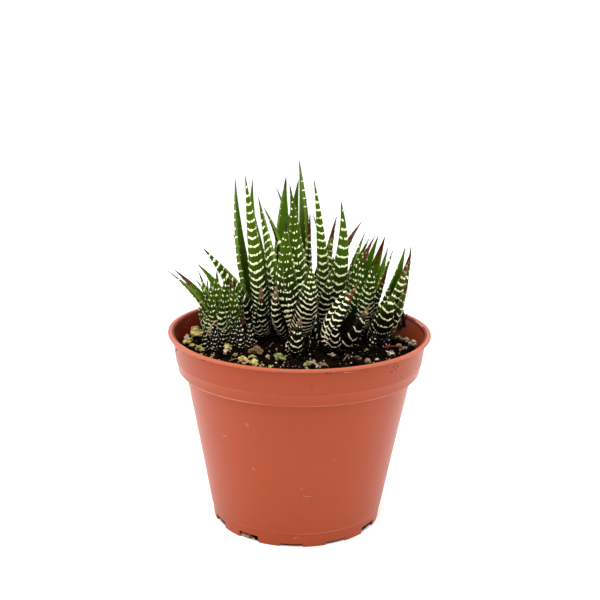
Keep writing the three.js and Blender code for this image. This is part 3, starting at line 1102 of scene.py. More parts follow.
# %% One leaf
def bent_leaf(heart, core, row, seed, dotted, green_from, bare):
    luck = luck_of(seed, dotted)
    length = math.dist((*heart, ground(*heart)), row[1:4])
    rings = next((count for count in TUBE_RINGS if count * RING_STEP > length), TUBE_RINGS[-1])
    leaf = copy_of(tubes[rings], "leaf")
    tube = points_of(leaf)
    t = np.minimum(tube[:, 2] / rings, 1)
    turn = section_turn(tube)
    cosine, sine = np.cos(turn), np.sin(turn)
    margin = np.abs(cosine)
    inner = np.where(sine < -0.05, 1.0, 0.0)
    middle, along, back, side, _ = rib_of(heart, core, row, t)
    above = middle[:, 2] - ground(*heart)
    wide, deep = section_size(row[4], t)
    across = 0.5 * cosine * wide

    run = np.interp(np.unique(t), *running_rows(heart, core, row, length, luck["spread"]))
    slope = row_pitch(t, length, luck["spread"])
    count = counted_rows(luck, run, slope, t, across, cosine, wide)
    grown_up = rising(above, 1, 1 + bare)
    fused = fused_share(luck, t, across, inner) * grown_up
    bead_at = across / (DOT_SIZE if dotted else 1.0) + 0.22 * np.sin(2.3 * across + 5 * np.floor(count))
    uneven_dots = 0.7 if dotted else 0.35
    thick = row_thickness(luck, seed, dotted, t, margin, inner, above, count) * (0.45 + 0.55 * grown_up)
    thick = thick * (1.1 + 0.3 * uneven_dots - uneven_dots * dot_luck(count, bead_at, luck["dots"]))

    height = row_height(fused, thick, bead_at, count, slope, wide, sine)
    lean = np.array([cosine * deep, sine * wide * 0.5])
    lean = height * lean / np.maximum(np.hypot(*lean), 1e-6)
    places = middle + side * (across + lean[0])[:, None]
    places = places + back * (section_rise(sine) * deep + lean[1])[:, None]
    on_axis = np.hypot(tube[:, 0], tube[:, 1]) < 0.5
    places[on_axis] = middle[on_axis]
    set_points(leaf, places * MM)

    store(leaf, "row_count", count)
    store(leaf, "row_pitch", slope)
    store(leaf, "across", bead_at)
    store(leaf, "along", t)
    store(leaf, "fused", fused)
    store(leaf, "thick", thick)
    store(leaf, "inner", inner)
    store(leaf, "margin", margin)
    store(leaf, "leaf_shade", luck["shade"])
    store(leaf, "tip_kind", row[7])
    store(leaf, "green_from", green_from * MM)
    return leaf


print("one rule for", sum(len(rosette["leaves"]) for rosette in ROSETTES.values()), "leaves")

# %% [markdown]
# ### Leaf finish
#
# The skin is yellow-green in the light and nearly black near the soil, where old bases darken and where
# shade is painted in: deep in each rosette and low on the leaves' backs, less on their inner faces. The white
# rows are read from the attributes: a point is white when it lies nearer to its row's line than half the
# band's width. Tips dry to dark brown, some to red and some to tan.


# %% Group for the white rows
def white_rows_group():
    sockets = [
        ("Row count", "NodeSocketFloat", 0.0),
        ("Row pitch", "NodeSocketFloat", 2.0),
        ("Across", "NodeSocketFloat", 0.0),
        ("Along", "NodeSocketFloat", 0.0),
        ("Fused", "NodeSocketFloat", 0.5),
        ("Thick", "NodeSocketFloat", 1.0),
    ]
    group, entry, leave = new_group("white_rows", sockets, [("Mask", "NodeSocketFloat")])
    nodes = Nodes(group)
    count = entry.outputs["Row count"]
    along = entry.outputs["Along"]
    fused = entry.outputs["Fused"]
    phase = nodes.math("FRACT", nodes.times(nodes.math("FLOOR", count), 0.618))
    turns = nodes.math("ADD", nodes.math("DIVIDE", entry.outputs["Across"], BEAD_PITCH), phase)
    bead = nodes.math("COSINE", nodes.times(turns, 2 * math.pi))
    loose = nodes.times(nodes.math("SUBTRACT", 1.0, fused), bead)
    half = nodes.times(nodes.math("ADD", fused, loose), BAND_HALF)
    half = nodes.times(half, entry.outputs["Thick"])
    off_line = nodes.math("ABSOLUTE", nodes.math("SUBTRACT", nodes.math("FRACT", count), 0.5))
    off_line = nodes.times(off_line, entry.outputs["Row pitch"])
    depth = nodes.math("SUBTRACT", half, off_line)
    fade = nodes.times(nodes.ramp(along, 0.9, 0.97, 1.0, 0.0), nodes.ramp(entry.outputs["Thick"], 0.02, 0.2))
    mask = nodes.times(nodes.ramp(depth, -0.07, 0.05), fade)
    nodes.link(mask, leave.inputs["Mask"])
    return group


WHITE_ROWS = white_rows_group()
print(WHITE_ROWS.name, "has", len(WHITE_ROWS.nodes), "nodes")

# %% [markdown]
# The skin is built up like a watercolour, from the large to the small: green, then the dark foot, then the
# tip, and the white rows last. Painting in layers keeps each of them easy to change.


# %% Material for the leaves
def rows_mask(nodes, along):
    rows = nodes.add("ShaderNodeGroup", node_tree=WHITE_ROWS)
    nodes.link(along, rows.inputs["Along"])
    for label in ("Row count", "Row pitch", "Across", "Fused", "Thick"):
        nodes.link(nodes.attribute(label.lower().replace(" ", "_")), rows.inputs[label])
    return rows.outputs["Mask"]


def green_skin(nodes, inner):
    """Yellow-green, paler on the inner face and along the margins."""
    green = nodes.mix(nodes.attribute("leaf_shade"), srgb(32, 56, 1), srgb(64, 90, 4))
    green = nodes.mix(nodes.times(inner, 0.75), green, srgb(70, 100, 3))
    edge = nodes.ramp(nodes.attribute("margin"), 0.9, 1.0, 0.0, 0.45)
    green = nodes.mix(edge, green, srgb(140, 168, 60))
    return uneven(nodes, green, 260.0, 0.16)


def dark_below(nodes, place, green, along, inner):
    """Nearly black near the soil: partly the real dark of old bases, partly painted shade deep in the clump
    and low on the backs. Also gives the height above where the green starts.
    """
    # Painted shade with the real dark of old bases: dark low on the backs and below the rosette's green
    # height, less on the inner faces, and nearly black lowest down.
    low = nodes.math("SUBTRACT", nodes.noise(place, 90.0, 2.0), 0.5)
    reach = nodes.math("MULTIPLY_ADD", low, 18 * MM, nodes.height_of(place))
    above = nodes.math("SUBTRACT", reach, nodes.attribute("green_from"))
    lit = nodes.ramp(nodes.math("MULTIPLY_ADD", low, 0.5, along), 0.12, 0.62)
    lit = nodes.math("MAXIMUM", lit, nodes.times(inner, 0.6))
    lit = nodes.math("MINIMUM", lit, nodes.ramp(above, -22 * MM, 0.0))
    skin = nodes.mix(lit, srgb(8, 14, 1), green)
    return nodes.mix(nodes.ramp(above, -34 * MM, -16 * MM), srgb(7, 5, 1), skin), above


def coloured_tip(nodes, place, skin, along):
    """A dark point on every leaf, and a red or dry end on some, whose mask it gives as well."""
    kind = nodes.attribute("tip_kind")
    is_red = nodes.math("COMPARE", kind, float(RED), 0.4)
    is_dry = nodes.math("COMPARE", kind, float(DRY), 0.4)
    worn = nodes.math("MULTIPLY_ADD", nodes.noise(place, 300.0, 3.0), 0.12, along)
    skin = nodes.mix(nodes.ramp(worn, 0.97, 1.04), skin, srgb(34, 32, 16))
    patchy = nodes.math("SUBTRACT", worn, 0.25)
    patchy = nodes.math("MULTIPLY_ADD", nodes.noise(place, 420.0, 2.0), 0.5, patchy)
    red_part = nodes.times(nodes.ramp(patchy, 0.76, 0.88), is_red)
    skin = nodes.mix(red_part, skin, srgb(82, 34, 12))
    dry_part = nodes.times(nodes.ramp(worn, 0.72, 0.92), is_dry)
    skin = nodes.mix(dry_part, skin, srgb(108, 82, 60))
    return skin, nodes.math("MAXIMUM", red_part, dry_part)


def leaf_material():
    material, nodes, shader = new_material("haworthia_leaf", 0.42, 0.05)
    place = nodes.place()
    along = nodes.attribute("along")
    inner = nodes.attribute("inner")
    skin, above = dark_below(nodes, place, green_skin(nodes, inner), along, inner)
    skin, tip = coloured_tip(nodes, place, skin, along)
    white = nodes.mix(nodes.ramp(above, -34 * MM, -10 * MM), srgb(240, 228, 190), srgb(250, 255, 206))
    white = uneven(nodes, white, 500.0, 0.06)
    shown = nodes.times(rows_mask(nodes, along), nodes.math("SUBTRACT", 1.0, nodes.times(tip, 0.8)))
    nodes.link(nodes.mix(shown, skin, white), shader.inputs["Base Color"])
    nodes.link(nodes.ramp(shown, 0.0, 1.0, 0.38, 0.6), shader.inputs["Roughness"])
    grain = nodes.bump(nodes.noise(place, 1600.0, 3.0), 0.25, 0.1 * MM)
    nodes.link(grain, shader.inputs["Normal"])
    return material


LEAF = leaf_material()
print(LEAF.name, "has", len(LEAF.node_tree.nodes), "nodes")

# %% [markdown]
# On the plant the leaves of a rosette sit on a short stem that is hidden by their feet. The stem is turned,
# and the leaves are joined with it in one piece, which stands for the solid rosette of the same name. They
# could be merged into one skin, but the real leaves only press against each other there.


# %% Grow the rosettes
def stem_of(name, heart, core):
    level = ground(*heart)
    outline = [(0, level - 6), (core * 0.9, level - 5.8), (core, level - 3), (core, level + 1)]
    outline += [(core * 0.8, level + 4), (core * 0.4, level + 7), (0, level + 8)]
    stem = turned(name + "_stem", outline, 24)
    places = points_of(stem)
    set_points(stem, places + np.array([*heart, 0]) * MM)
    plain = ("row_count", "across", "along", "fused", "thick", "inner", "margin", "leaf_shade", "tip_kind")
    for label in plain:
        store(stem, label, 0.0)
    store(stem, "row_pitch", 9.0)
    # This height gives the stem the dark of the leaves' feet: the real dark of old bases and painted shade.
    store(stem, "green_from", 120 * MM)
    return stem


def grow(name, heart, core, leaves):
    parts = [stem_of(name, heart, core)]
    for index, row in enumerate(leaves):
        dotted = name in DOTTED_ROSETTES or name + str(index) in DOTTED_LEAVES
        bare = BARE_FOOT.get(name, 2)
        parts.append(bent_leaf(heart, core, row, name + str(index), dotted, GREEN_FROM[name], bare))
    piece = joined(parts, name.replace("rosette", "leaves"))
    smooth(piece)
    show_with(piece, LEAF)
    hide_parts(name)
    return piece


for name, rosette in ROSETTES.items():
    grow(name, rosette["heart"], rosette["core"], rosette["leaves"])

# %% [markdown]
# Beside the clump stand the dry black bases of leaves that have died, still with their white dots. Each is a
# short leaf on the same formula, with its foot straight in the soil.

# %% Dry leaf bases
NEVER_GREEN = 200
dry_bases = [
    ((-36.5, -7.0), (-105, -37.5, -3.0, 80.5, 3.6, -0.8, 0.0, DARK)),
    ((-34.0, -7.5), (-80, -34.6, -3.0, 82.0, 3.6, 0.8, 0.0, DARK)),
    ((-31.4, -5.5), (-60, -31.0, -3.5, 79.0, 3.2, 0.6, 0.0, DARK)),
    ((-22.4, -9.5), (-95, -23.4, -4.5, 84.5, 3.8, -0.8, 0.0, DARK)),
    ((-20.4, -8.5), (-70, -20.0, -4.5, 82.5, 3.2, 0.8, 0.0, DARK)),
    ((-25.6, -5.0), (-110, -25.8, -1.5, 81.0, 3.4, -0.5, 0.0, DARK)),
    ((28.5, 0.0), (-70, 30.5, 2.0, 79.0, 4.0, 0.8, 0.0, DARK)),
    ((33.5, -0.5), (-60, 36.0, 1.0, 77.5, 3.4, 0.8, 0.0, DARK)),
]
bases = [
    bent_leaf(heart, 0, row, "base" + str(index), True, NEVER_GREEN, 9)
    for index, (heart, row) in enumerate(dry_bases)
]
bases = joined(bases, "dry_leaf_bases")
smooth(bases)
show_with(bases, LEAF)
for tube in tubes.values():
    bpy.data.objects.remove(tube)

# %% [markdown]
# ## The soil
#
# The pot holds a coarse mix: black peat crumbs with pale pumice, a few tan chips and thin roots. The ground
# is one closed body that fills the pot, turned from its outline, with its top pushed up and down by noise.

# %% Ground body
SOIL_RINGS = 56
HEAP = 2.6


def surface(x, y):
    """The ground with the soil that is heaped against the left and right walls."""
    side = min(1, max(0, (abs(x) - 36) / 8))
    near = min(1, max(0, 1.4 - abs(y - 5) / 18))
    return ground(x, y) + HEAP * side * side * (3 - 2 * side) * near


soil_outline = [(0, 3.0), (32.6, 3.0), (33.5, 6.4), (44.0, 64.1), (46.8, 65.0), (47.4, 68.0)]
for ring in range(SOIL_RINGS, -1, -1):
    r = 47.4 * ring / SOIL_RINGS
    soil_outline.append((r, ground(r, 0) - 1.2))
soil = turned("soil_ground", soil_outline, 200)
places = points_of(soil)
for index in np.nonzero(places[:, 2] > 68 * MM)[0]:
    x, y, z = places[index]
    hold = min(1, (47.8 * MM - math.hypot(x, y)) / (4 * MM) + 0.25)
    coarse = noise.fractal(Vector((x, y, 0.3)) * 160, 0.8, 2.0, 3)
    crumbly = noise.turbulence(Vector((x, y, 0.9)) * 520, 4, False)
    heap = surface(x / MM, y / MM) - ground(x / MM, y / MM)
    places[index, 2] = z + (heap + (coarse * 1.1 + (crumbly - 0.5) * 1.7) * hold) * MM
set_points(soil, places)
smooth(soil)
print("soil top reaches", round(places[:, 2].max() / MM, 1), "mm")

# %% [markdown]
# Moist peat is nearly black and scatters light in all directions, with brown crumbs and a few pale flecks.
# Its grain is finer than the ground's points, so noise gives both the colour and a fine bump.


# %% Material for the peat
def peat_material():
    material, nodes, shader = new_material("peat", 0.95, 0.04)
    place = nodes.place()
    colour = nodes.mix(nodes.noise(place, 700.0, 4.0), srgb(2, 1, 0), srgb(24, 13, 6))
    flecks = nodes.times(specks(nodes, 900.0, 0.3, 0.05), 0.85)
    nodes.link(nodes.mix(flecks, colour, srgb(176, 156, 122)), shader.inputs["Base Color"])
    crumb = nodes.bump(nodes.noise(place, 1300.0, 5.0), 0.7, 0.5 * MM)
    nodes.link(crumb, shader.inputs["Normal"])
    return material


PEAT = peat_material()
show_with(soil, PEAT)
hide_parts("soil")

# %% [markdown]
# ### Crumbs and pumice
#
# A lump is modelled once from an icosphere that is pushed in and out by noise, in a few variants, and copied
# with its own mesh, size and turn. Peat crumbs are dark and flat. Pumice is pale yellow, tan or greenish and
# sits half sunk. The large lumps that the photo shows have places read from it through the camera, and the
# rest are drawn at random with a fixed seed, clear of the stems.


# %% Lumps
def lump_shape(name, divisions, roughness, seed):
    fresh()
    bpy.ops.mesh.primitive_ico_sphere_add(subdivisions=divisions, radius=1)
    lump = bpy.context.object
    lump.name = name
    bpy.ops.object.mode_set(mode="EDIT")
    bpy.ops.mesh.select_all(action="SELECT")
    bpy.ops.transform.resize(value=(1.0, 0.82, 0.7))
    done()
    places = points_of(lump)
    for index, place in enumerate(places):
        push = noise.noise(Vector(place) * 1.3 + Vector((seed, 0, 0))) * roughness
        push += noise.noise(Vector(place) * 2.9 + Vector((0, seed, 0))) * roughness * 0.75
        places[index] = place * (1 + push)
    set_points(lump, places)
    return lump


pumice_shapes = [lump_shape("pumice_shape", 3, 0.8, seed) for seed in (3.1, 7.7, 12.9, 5.6)]
crumb_shapes = [lump_shape("crumb_shape", 1, 0.9, seed) for seed in (1.7, 5.3, 9.1, 4.4)]
print("lump shapes:", len(pumice_shapes), "of pumice and", len(crumb_shapes), "of crumb")


def scatter(shapes, spots, name, draw):
    """Copies a shape to each spot: x, y and size in millimetres, the share that is sunk, and the tone."""
    pieces = []
    for x, y, size, sink, tone in spots:
        piece = copy_of(draw.choice(shapes), "lump")
        spin = Matrix.Rotation(draw.uniform(0, 6.3), 4, "Z")
        lean = Matrix.Rotation(draw.uniform(-0.5, 0.5), 4, "X")
        level = surface(x, y) - 1.0 + size * (0.5 - sink)
        place = Matrix.Translation(Vector((x, y, level)) * MM)
        piece.data.transform(place @ spin @ lean @ Matrix.Scale(size * MM, 4))
        store(piece, "tone", tone)
        pieces.append(piece)
    return joined(pieces, name)


def random_place(draw, reach):
    """A random place within the reach of the pot's axis, with no crowding in the middle."""
    turn = draw.uniform(0, 2 * math.pi)
    out = reach * math.sqrt(draw.random())
    return out * math.cos(turn), out * math.sin(turn)


def clear_of_stems(x, y, margin):
    for rosette in ROSETTES.values():
        away = math.dist((x, y), rosette["heart"])
        if away < rosette["core"] + margin:
            return False
    return math.hypot(x, y) < 46.0 - margin * 0.4


# %% [markdown]
# Each lump below is one row: x, y and its size in millimetres, the share of its size that it is sunk, and
# its tone. The tone runs from 0, greenish, over pale yellow and tan to 1, nearly white. Fine grit lies on
# top.

# %% Lumps seen in the photo
seen_lumps = [
    (-42.3, 8.7, 2.7, -0.35, 0.32),
    (-42.0, 15.5, 1.6, 0.0, 0.42),
    (-45.8, 4.2, 1.2, -0.6, 0.9),
    (-46.2, 8.0, 0.8, -0.9, 0.85),
    (-44.9, -0.6, 1.6, -0.3, 0.3),
    (-43.0, -4.5, 1.0, -0.2, 0.2),
    (-39.6, -6.9, 1.6, -0.2, 0.12),
    (-38.5, -12.0, 1.0, 0.2, 0.4),
    (-29.6, 2.4, 1.6, -0.1, 0.95),
    (-27.4, 7.6, 1.3, -0.1, 1.0),
    (-27.0, 2.0, 1.2, 0.0, 0.85),
    (-28.6, -5.6, 1.8, 0.0, 0.3),
    (-31.0, -2.0, 1.0, 0.0, 0.95),
    (-28.4, -10.4, 1.5, 0.1, 0.92),
    (-34.0, -12.5, 1.0, 0.3, 0.3),
    (-25.0, -14.0, 0.9, 0.3, 0.2),
    (-21.4, -20.4, 1.9, 0.1, 0.32),
    (-19.8, -22.6, 1.2, 0.2, 0.35),
    (-16.7, -24.2, 1.6, 0.1, 0.33),
    (-14.2, -26.6, 1.0, 0.2, 0.4),
    (-10.6, -27.5, 1.0, 0.3, 0.12),
    (-18.0, -17.5, 1.1, 0.2, 0.2),
    (-17.6, -13.6, 1.6, -0.3, 0.55),
    (-15.2, -13.6, 1.3, -0.2, 0.5),
    (-16.4, -13.0, 1.0, -1.9, 0.6),
    (-7.3, -20.2, 1.9, 0.0, 0.05),
    (-5.0, -18.4, 0.9, 0.1, 0.1),
    (3.4, -24.5, 1.3, 0.2, 0.08),
    (5.8, -22.0, 0.8, 0.3, 0.9),
    (7.5, -27.4, 1.0, 0.2, 0.9),
    (9.6, -26.0, 1.5, 0.2, 0.62),
    (12.9, -15.2, 1.3, 0.3, 0.8),
    (23.0, -15.0, 1.1, 0.4, 0.55),
    (24.6, -24.0, 0.7, 0.4, 0.9),
    (30.5, -14.0, 0.7, 0.4, 0.95),
    (27.0, -5.0, 1.2, 0.4, 0.25),
    (36.6, -6.6, 1.5, 0.0, 0.96),
    (40.2, 0.2, 1.3, 0.0, 0.66),
    (41.0, -3.0, 0.8, 0.1, 0.6),
    (40.6, 13.0, 1.5, -0.3, 0.3),
    (43.8, 6.2, 1.3, -0.5, 0.8),
    (42.2, 9.0, 0.9, -0.2, 0.62),
    (46.0, 0.4, 1.5, -0.8, 0.9),
    (46.2, 4.4, 0.9, -0.6, 0.4),
]
print(len(seen_lumps), "lumps have their own places")

# %% Pumice and grit
TAN_TO_WHITE = (0.55, 1)
LUMPS = 110
GRAINS = 170
draw = random.Random(11)
spots = list(seen_lumps)
while len(spots) < LUMPS:
    x, y = random_place(draw, 46)
    size = 0.4 + 0.8 * draw.random() ** 3
    if clear_of_stems(x, y, 1.5 + size):
        spots.append((x, y, size, 0.5, draw.uniform(*TAN_TO_WHITE)))
pumice = scatter(pumice_shapes, spots, "pumice", draw)
spots = []
while len(spots) < GRAINS:
    x, y = random_place(draw, 46)
    if clear_of_stems(x, y, 0.8):
        spots.append((x, y, draw.uniform(0.22, 0.5), -0.8, draw.random()))
grit = scatter(crumb_shapes, spots, "grit", draw)


# %% [markdown]
# Pumice is foamed volcanic glass: pale, full of fine pores, and stained by the peat. Modelled pores would
# need far too many points, so cells dent the surface and paint shade into the colour where the pores are,
# and noise adds the stains.

# %% Material for the pumice
PUMICE_TONES = [(0.3, srgb(208, 188, 110)), (0.55, srgb(126, 92, 56)), (0.8, srgb(168, 146, 118))]


def pumice_material():
    material, nodes, shader = new_material("pumice", 0.85)
    place = nodes.place()
    tone = nodes.attribute("tone")
    colour = nodes.tones(tone, srgb(118, 134, 66), PUMICE_TONES, srgb(226, 208, 190))
    colour = uneven(nodes, colour, 700.0, 0.35)
    pores = nodes.cells(place, 2400.0).outputs["Distance"]
    # Painted shade in the pores.
    pore_shade = nodes.ramp(pores, 0.0, 0.35, 0.5, 0.0)
    stain = nodes.ramp(nodes.noise(place, 620.0, 4.0), 0.48, 0.62, 0.0, 0.85)
    colour = nodes.mix(nodes.math("MAXIMUM", pore_shade, stain), colour, srgb(52, 38, 22))
    nodes.link(colour, shader.inputs["Base Color"])
    nodes.link(nodes.bump(pores, 0.6, 0.3 * MM), shader.inputs["Normal"])
    return material


PUMICE = pumice_material()
show_with(pumice, PUMICE)
show_with(grit, PUMICE)

# %% [markdown]
# A few crumbs stick to the pot: dark ones under the lip, where the photo shows them, and pale ones inside the
# wall on the left. Their places are angles round the pot and heights, read from the photo through the camera.

# %% Crumbs on the pot
wall_z = (0, 5.6, 6.4, 62.4, 63.3, 67.5, 77.4, 78.2)
wall_r = (34.3, 34.92, 35.35, 45.6, 48.4, 49.4, 50.7, 52.4)
OUTER_WALL = (wall_z, wall_r)
INNER_WALL = ((67.8, 77.3), (48.4, 49.65))


def wall_point(wall, degrees, z, off=0.0):
    turn = math.radians(degrees)
    r = np.interp(z, *wall) + out_of_round(turn) * (z / HEIGHT) ** 2 + off
    return (r * math.cos(turn), r * math.sin(turn), z)


def on_wall(wall, degrees, z, size):
    shape = copy_of(draw.choice(crumb_shapes), "crumb")
    place = Matrix.Translation(Vector(wall_point(wall, degrees, z)) * MM)
    shape.data.transform(place @ Matrix.Scale(size * 0.8 * MM, 4))
    return shape


under_lip = [
    (-160, 74.1, 0.45),
    (-163, 73.0, 0.35),
    (-158, 75.2, 0.4),
    (-161.5, 71.9, 0.3),
    (-176, 71.5, 0.35),
    (-156, 72.6, 0.3),
    (-133.7, 76.6, 0.4),
    (-129, 75.9, 0.3),
    (-78.5, 76.6, 0.45),
    (-77.0, 76.3, 0.3),
    (-45.7, 75.1, 0.4),
    (-44.2, 74.0, 0.4),
    (-46.6, 73.3, 0.45),
    (-45.0, 76.2, 0.3),
    (-43.2, 75.0, 0.35),
    (-50.0, 75.6, 0.25),
    (-123.3, 55.0, 0.22),
    (-70.8, 42.1, 0.22),
    (-103.9, 23.8, 0.18),
    (-61.0, 75.9, 0.25),
    (-97.0, 76.7, 0.25),
    (-149.0, 75.9, 0.25),
]
stuck = [on_wall(OUTER_WALL, *spot) for spot in under_lip]
for crumb in stuck:
    store(crumb, "tone", 0.42)
print(len(stuck), "crumbs stick to the wall")

# %% [markdown]
# Bits of root and peat poke out of the draining notch at the front left, and a few pale crumbs stick to the
# wall inside and out. Each row of notch_bits is an angle, how far out and how high it is, its size and tone.

# %% Bits in the notches and pale crumbs
notch_bits = [
    (-129.0, 33.2, 0.9, 1.0, 0.5),
    (-126.4, 33.4, 1.0, 0.8, 0.92),
    (-127.6, 33.4, 1.9, 0.6, 0.56),
    (-124.2, 33.2, 0.9, 1.0, 0.46),
    (-121.8, 33.2, 0.7, 0.9, 0.55),
    (-119.6, 33.4, 0.5, 0.6, 0.9),
    (-71.5, 32.9, 0.5, 0.4, 0.55),
]
roots = []
for degrees, out, z, size, tone in notch_bits:
    turn = math.radians(degrees)
    crumb = copy_of(crumb_shapes[0], "root_bit")
    place = Matrix.Translation(Vector((out * math.cos(turn), out * math.sin(turn), z)) * MM)
    crumb.data.transform(place @ Matrix.Scale(size * MM, 4))
    store(crumb, "tone", tone)
    roots.append(crumb)
inside_left = [(162.2, 75.7, 0.28), (164.3, 74.6, 0.22), (160.0, 76.3, 0.18)]
outside = [
    (-73.6, 39.0, 0.16),
    (-70.0, 38.9, 0.16),
    (-104.4, 6.8, 0.16),
    (-113.2, 76.9, 0.2),
    (-87.2, 26.9, 0.14),
]
pale = [on_wall(INNER_WALL, *spot) for spot in inside_left]
pale += [on_wall(OUTER_WALL, *spot) for spot in outside]
for crumb in pale:
    store(crumb, "tone", 0.95)
stuck_pale = joined(pale + roots, "stuck_grit")
show_with(stuck_pale, PUMICE)

# %% [markdown]
# Last come the peat crumbs, many and small, over all the ground between the stems. A particle system could
# scatter them, but copies with their own meshes, joined, stay real pieces.

# %% Peat crumbs
CRUMBS = 900
spots = []
while len(spots) < CRUMBS:
    x, y = random_place(draw, 46.6)
    size = 0.5 + 1.2 * draw.random() ** 2.5
    if clear_of_stems(x, y, 0.3 + size):
        spots.append((x, y, size, 0.3, 0.0))
crumbs = scatter(crumb_shapes, spots, "peat_crumbs", draw)
show_with(crumbs, PEAT)
for shape in pumice_shapes + crumb_shapes:
    bpy.data.objects.remove(shape)

# %% [markdown]
# ### Dead leaves, twigs and fibres
#
# At the right wall stands a black dead leaf with red-brown scraps round its foot, and thin roots and fibres
# lie on the peat. Each is a thin tube that follows a curve of three points and tapers to its end. Curve
# objects could do the same, but the helper that made the leaves' tubes is at hand, and its tubes can be
# flattened.

# %% Strands
BLACK = 0.0
BROWN = 0.3
RUST = 0.6
TAN = 1.0
FIBRE_TONES = (BROWN, 0.45, 0.8)
STRANDS = 58
STRAND_RINGS = 9
strand_tube = straight_tube(STRAND_RINGS, 6)


def strand(start, middle, end, radius, tone, flat=1.0):
    piece = copy_of(strand_tube, "strand")
    tube = points_of(piece)
    t = tube[:, 2:3] / STRAND_RINGS
    a, b, c = (np.array(point, float) for point in (start, middle, end))
    centre = (1 - t) ** 2 * a + 2 * t * (1 - t) * b + t**2 * c
    along = 2 * (1 - t) * (b - a) + 2 * t * (c - b)
    along = along / np.linalg.norm(along, axis=1)[:, None]
    side = np.cross(along, [0.2, 0.3, 1.0])
    side = side / np.linalg.norm(side, axis=1)[:, None]
    up = np.cross(side, along)
    thick = radius * (1 - 0.85 * t**1.5)
    centre = centre + side * tube[:, 0:1] * thick + up * tube[:, 1:2] * thick * flat
    set_points(piece, centre * MM)
    store(piece, "tone", tone)
    return piece


print("a strand has", STRAND_RINGS, "rings")

# %% [markdown]
# The scraps that stand out in the photo have places of their own, and so have the fine scratches on the
# pot's wall. The rest are loose fibres, drawn at random on the ground between the stems.

# %% Scraps and scratches
strands = [
    strand((43.4, 14, 76), (42.8, 14, 83), (41.3, 14, 89), 1.0, BLACK, 0.6),
    strand((41.5, 9, 77), (43, 8.5, 80), (44.2, 8, 84.5), 0.5, BLACK),
    strand((37.5, 10, 74), (38, 11, 79), (41, 13, 83.5), 1.8, RUST, 0.4),
    strand((41, 11, 75), (42.5, 12, 79), (39.5, 13, 82.5), 1.6, RUST, 0.5),
    strand((36, 7, 74), (39, 8, 77), (43, 10, 81), 1.0, BROWN, 0.6),
    strand((38.5, 6, 74), (39, 7, 77), (38, 10, 81), 1.1, RUST, 0.5),
    strand((37, 4, 73.5), (40, 5, 76), (43.5, 8, 78), 0.8, BROWN, 0.6),
    strand((34, -2, 72), (38, -3, 73.5), (42, -1, 71.6), 0.5, RUST),
    strand((-36.5, -7, 78), (-35, -6.5, 82), (-31.5, -4.5, 83.5), 0.35, TAN),
    strand((-41.5, 15, 73), (-41, 15, 76), (-40, 16, 80), 0.9, BROWN, 0.5),
]
scratches = [
    ((-116.5, 53.0), (-115.4, 52.2), (-114.5, 51.0)),
    ((-115.6, 53.2), (-114.8, 52.4), (-114.0, 51.8)),
    ((-131.7, 44.9), (-130.0, 45.1), (-128.3, 45.2)),
    ((-114.5, 34.3), (-113.4, 33.5), (-112.2, 33.6)),
    ((-85.9, 23.7), (-83.4, 23.5), (-81.0, 23.2)),
    ((-90.9, 3.9), (-89.8, 4.2), (-88.7, 5.0)),
    ((-71.0, 76.6), (-68.6, 76.0), (-66.0, 76.6)),
]
for points in scratches:
    start, middle, end = (wall_point(OUTER_WALL, *point) for point in points)
    strands.append(strand(start, middle, end, 0.1, TAN))
print(len(strands), "strands have their own places")

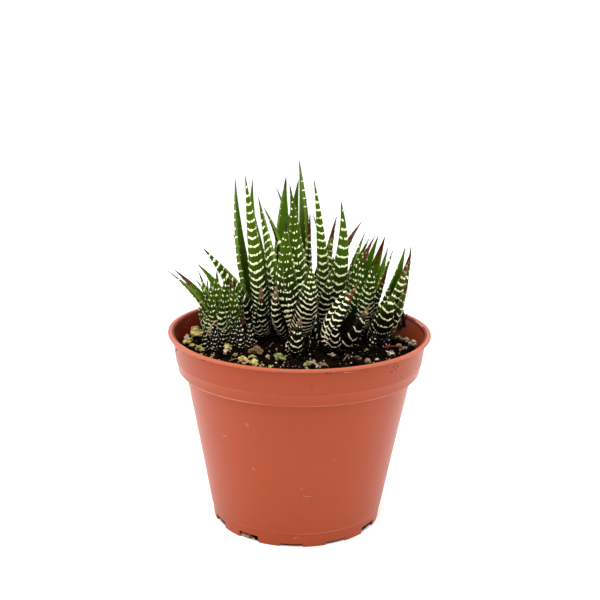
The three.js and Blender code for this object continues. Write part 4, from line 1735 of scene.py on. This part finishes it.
# %% Loose fibres
while len(strands) < STRANDS:
    x, y = random_place(draw, 44)
    heading = draw.uniform(0, 2 * math.pi)
    reach = draw.uniform(1.5, 4)
    dx, dy = reach * math.cos(heading), reach * math.sin(heading)
    if math.hypot(x + dx, y + dy) < 46 and clear_of_stems(x, y, 1) and clear_of_stems(x + dx, y + dy, 1):
        start = (x - dx, y - dy, ground(x - dx, y - dy) - 0.6)
        middle = (x + draw.uniform(-1, 1), y, ground(x, y) + draw.uniform(0.6, 2.2))
        end = (x + dx, y + dy, ground(x + dx, y + dy) - 0.4)
        strands.append(strand(start, middle, end, draw.uniform(0.1, 0.22), draw.choice(FIBRE_TONES)))
dry_bits = joined(strands + stuck, "dry_bits")
smooth(dry_bits)
bpy.data.objects.remove(strand_tube)
print(STRANDS, "strands and", len(stuck), "crumbs are joined")

# %% [markdown]
# Dead leaf and root run from black over brown and rust to tan. One ramp of colours serves all, and each
# strand carries its own place on it.


# %% Material for the dry bits
def dry_material():
    material, nodes, shader = new_material("dry_bits", 0.7, 0.15)
    between = [(BROWN, srgb(44, 26, 16)), (RUST, srgb(104, 34, 20))]
    colour = nodes.tones(nodes.attribute("tone"), srgb(6, 6, 8), between, srgb(176, 150, 104))
    nodes.link(uneven(nodes, colour, 500.0, 0.35), shader.inputs["Base Color"])
    return material


show_with(dry_bits, dry_material())

# %% [markdown]
# ## Floor and hand-over
#
# The floor is only a stage: a pale sheet under the pot. It glows a little, like the lit tables that are used
# to photograph goods on pure white, so that only a faint contact shadow is left. Inside the pot's foot ring
# it
# neither glows nor is pale: there it is painted nearly black, a painted shadow that shows through the
# notches.

# %% Floor
fresh()
bpy.ops.mesh.primitive_plane_add(size=1.3)
floor = bpy.context.object
floor.name = "floor"
settle(floor)
floor_finish, floor_nodes, floor_shader = new_material("pale_floor", 0.8, 0.2)
floor_shader.inputs["Emission Strength"].default_value = 0.28
from_middle = floor_nodes.add("ShaderNodeVectorMath", operation="LENGTH")
floor_nodes.link(floor_nodes.place(), from_middle.inputs[0])
# Painted shadow: inside the foot ring the floor is nearly black and does not glow.
lit = floor_nodes.ramp(from_middle.outputs["Value"], (FOOT - 1.8) * MM, (FOOT - 0.4) * MM)
glow = floor_nodes.mix(lit, (0, 0, 0, 1), (1, 1, 1, 1))
floor_nodes.link(glow, floor_shader.inputs["Emission Color"])
floor_colour_and_shadow = floor_nodes.mix(lit, (0.02, 0.015, 0.01, 1), (0.96, 0.96, 0.96, 1))
floor_nodes.link(floor_colour_and_shadow, floor_shader.inputs["Base Color"])
floor.data.materials.append(floor_finish)
print("floor is", round(floor.dimensions.x, 2), "m wide")

# %% End
print("the scene is built")
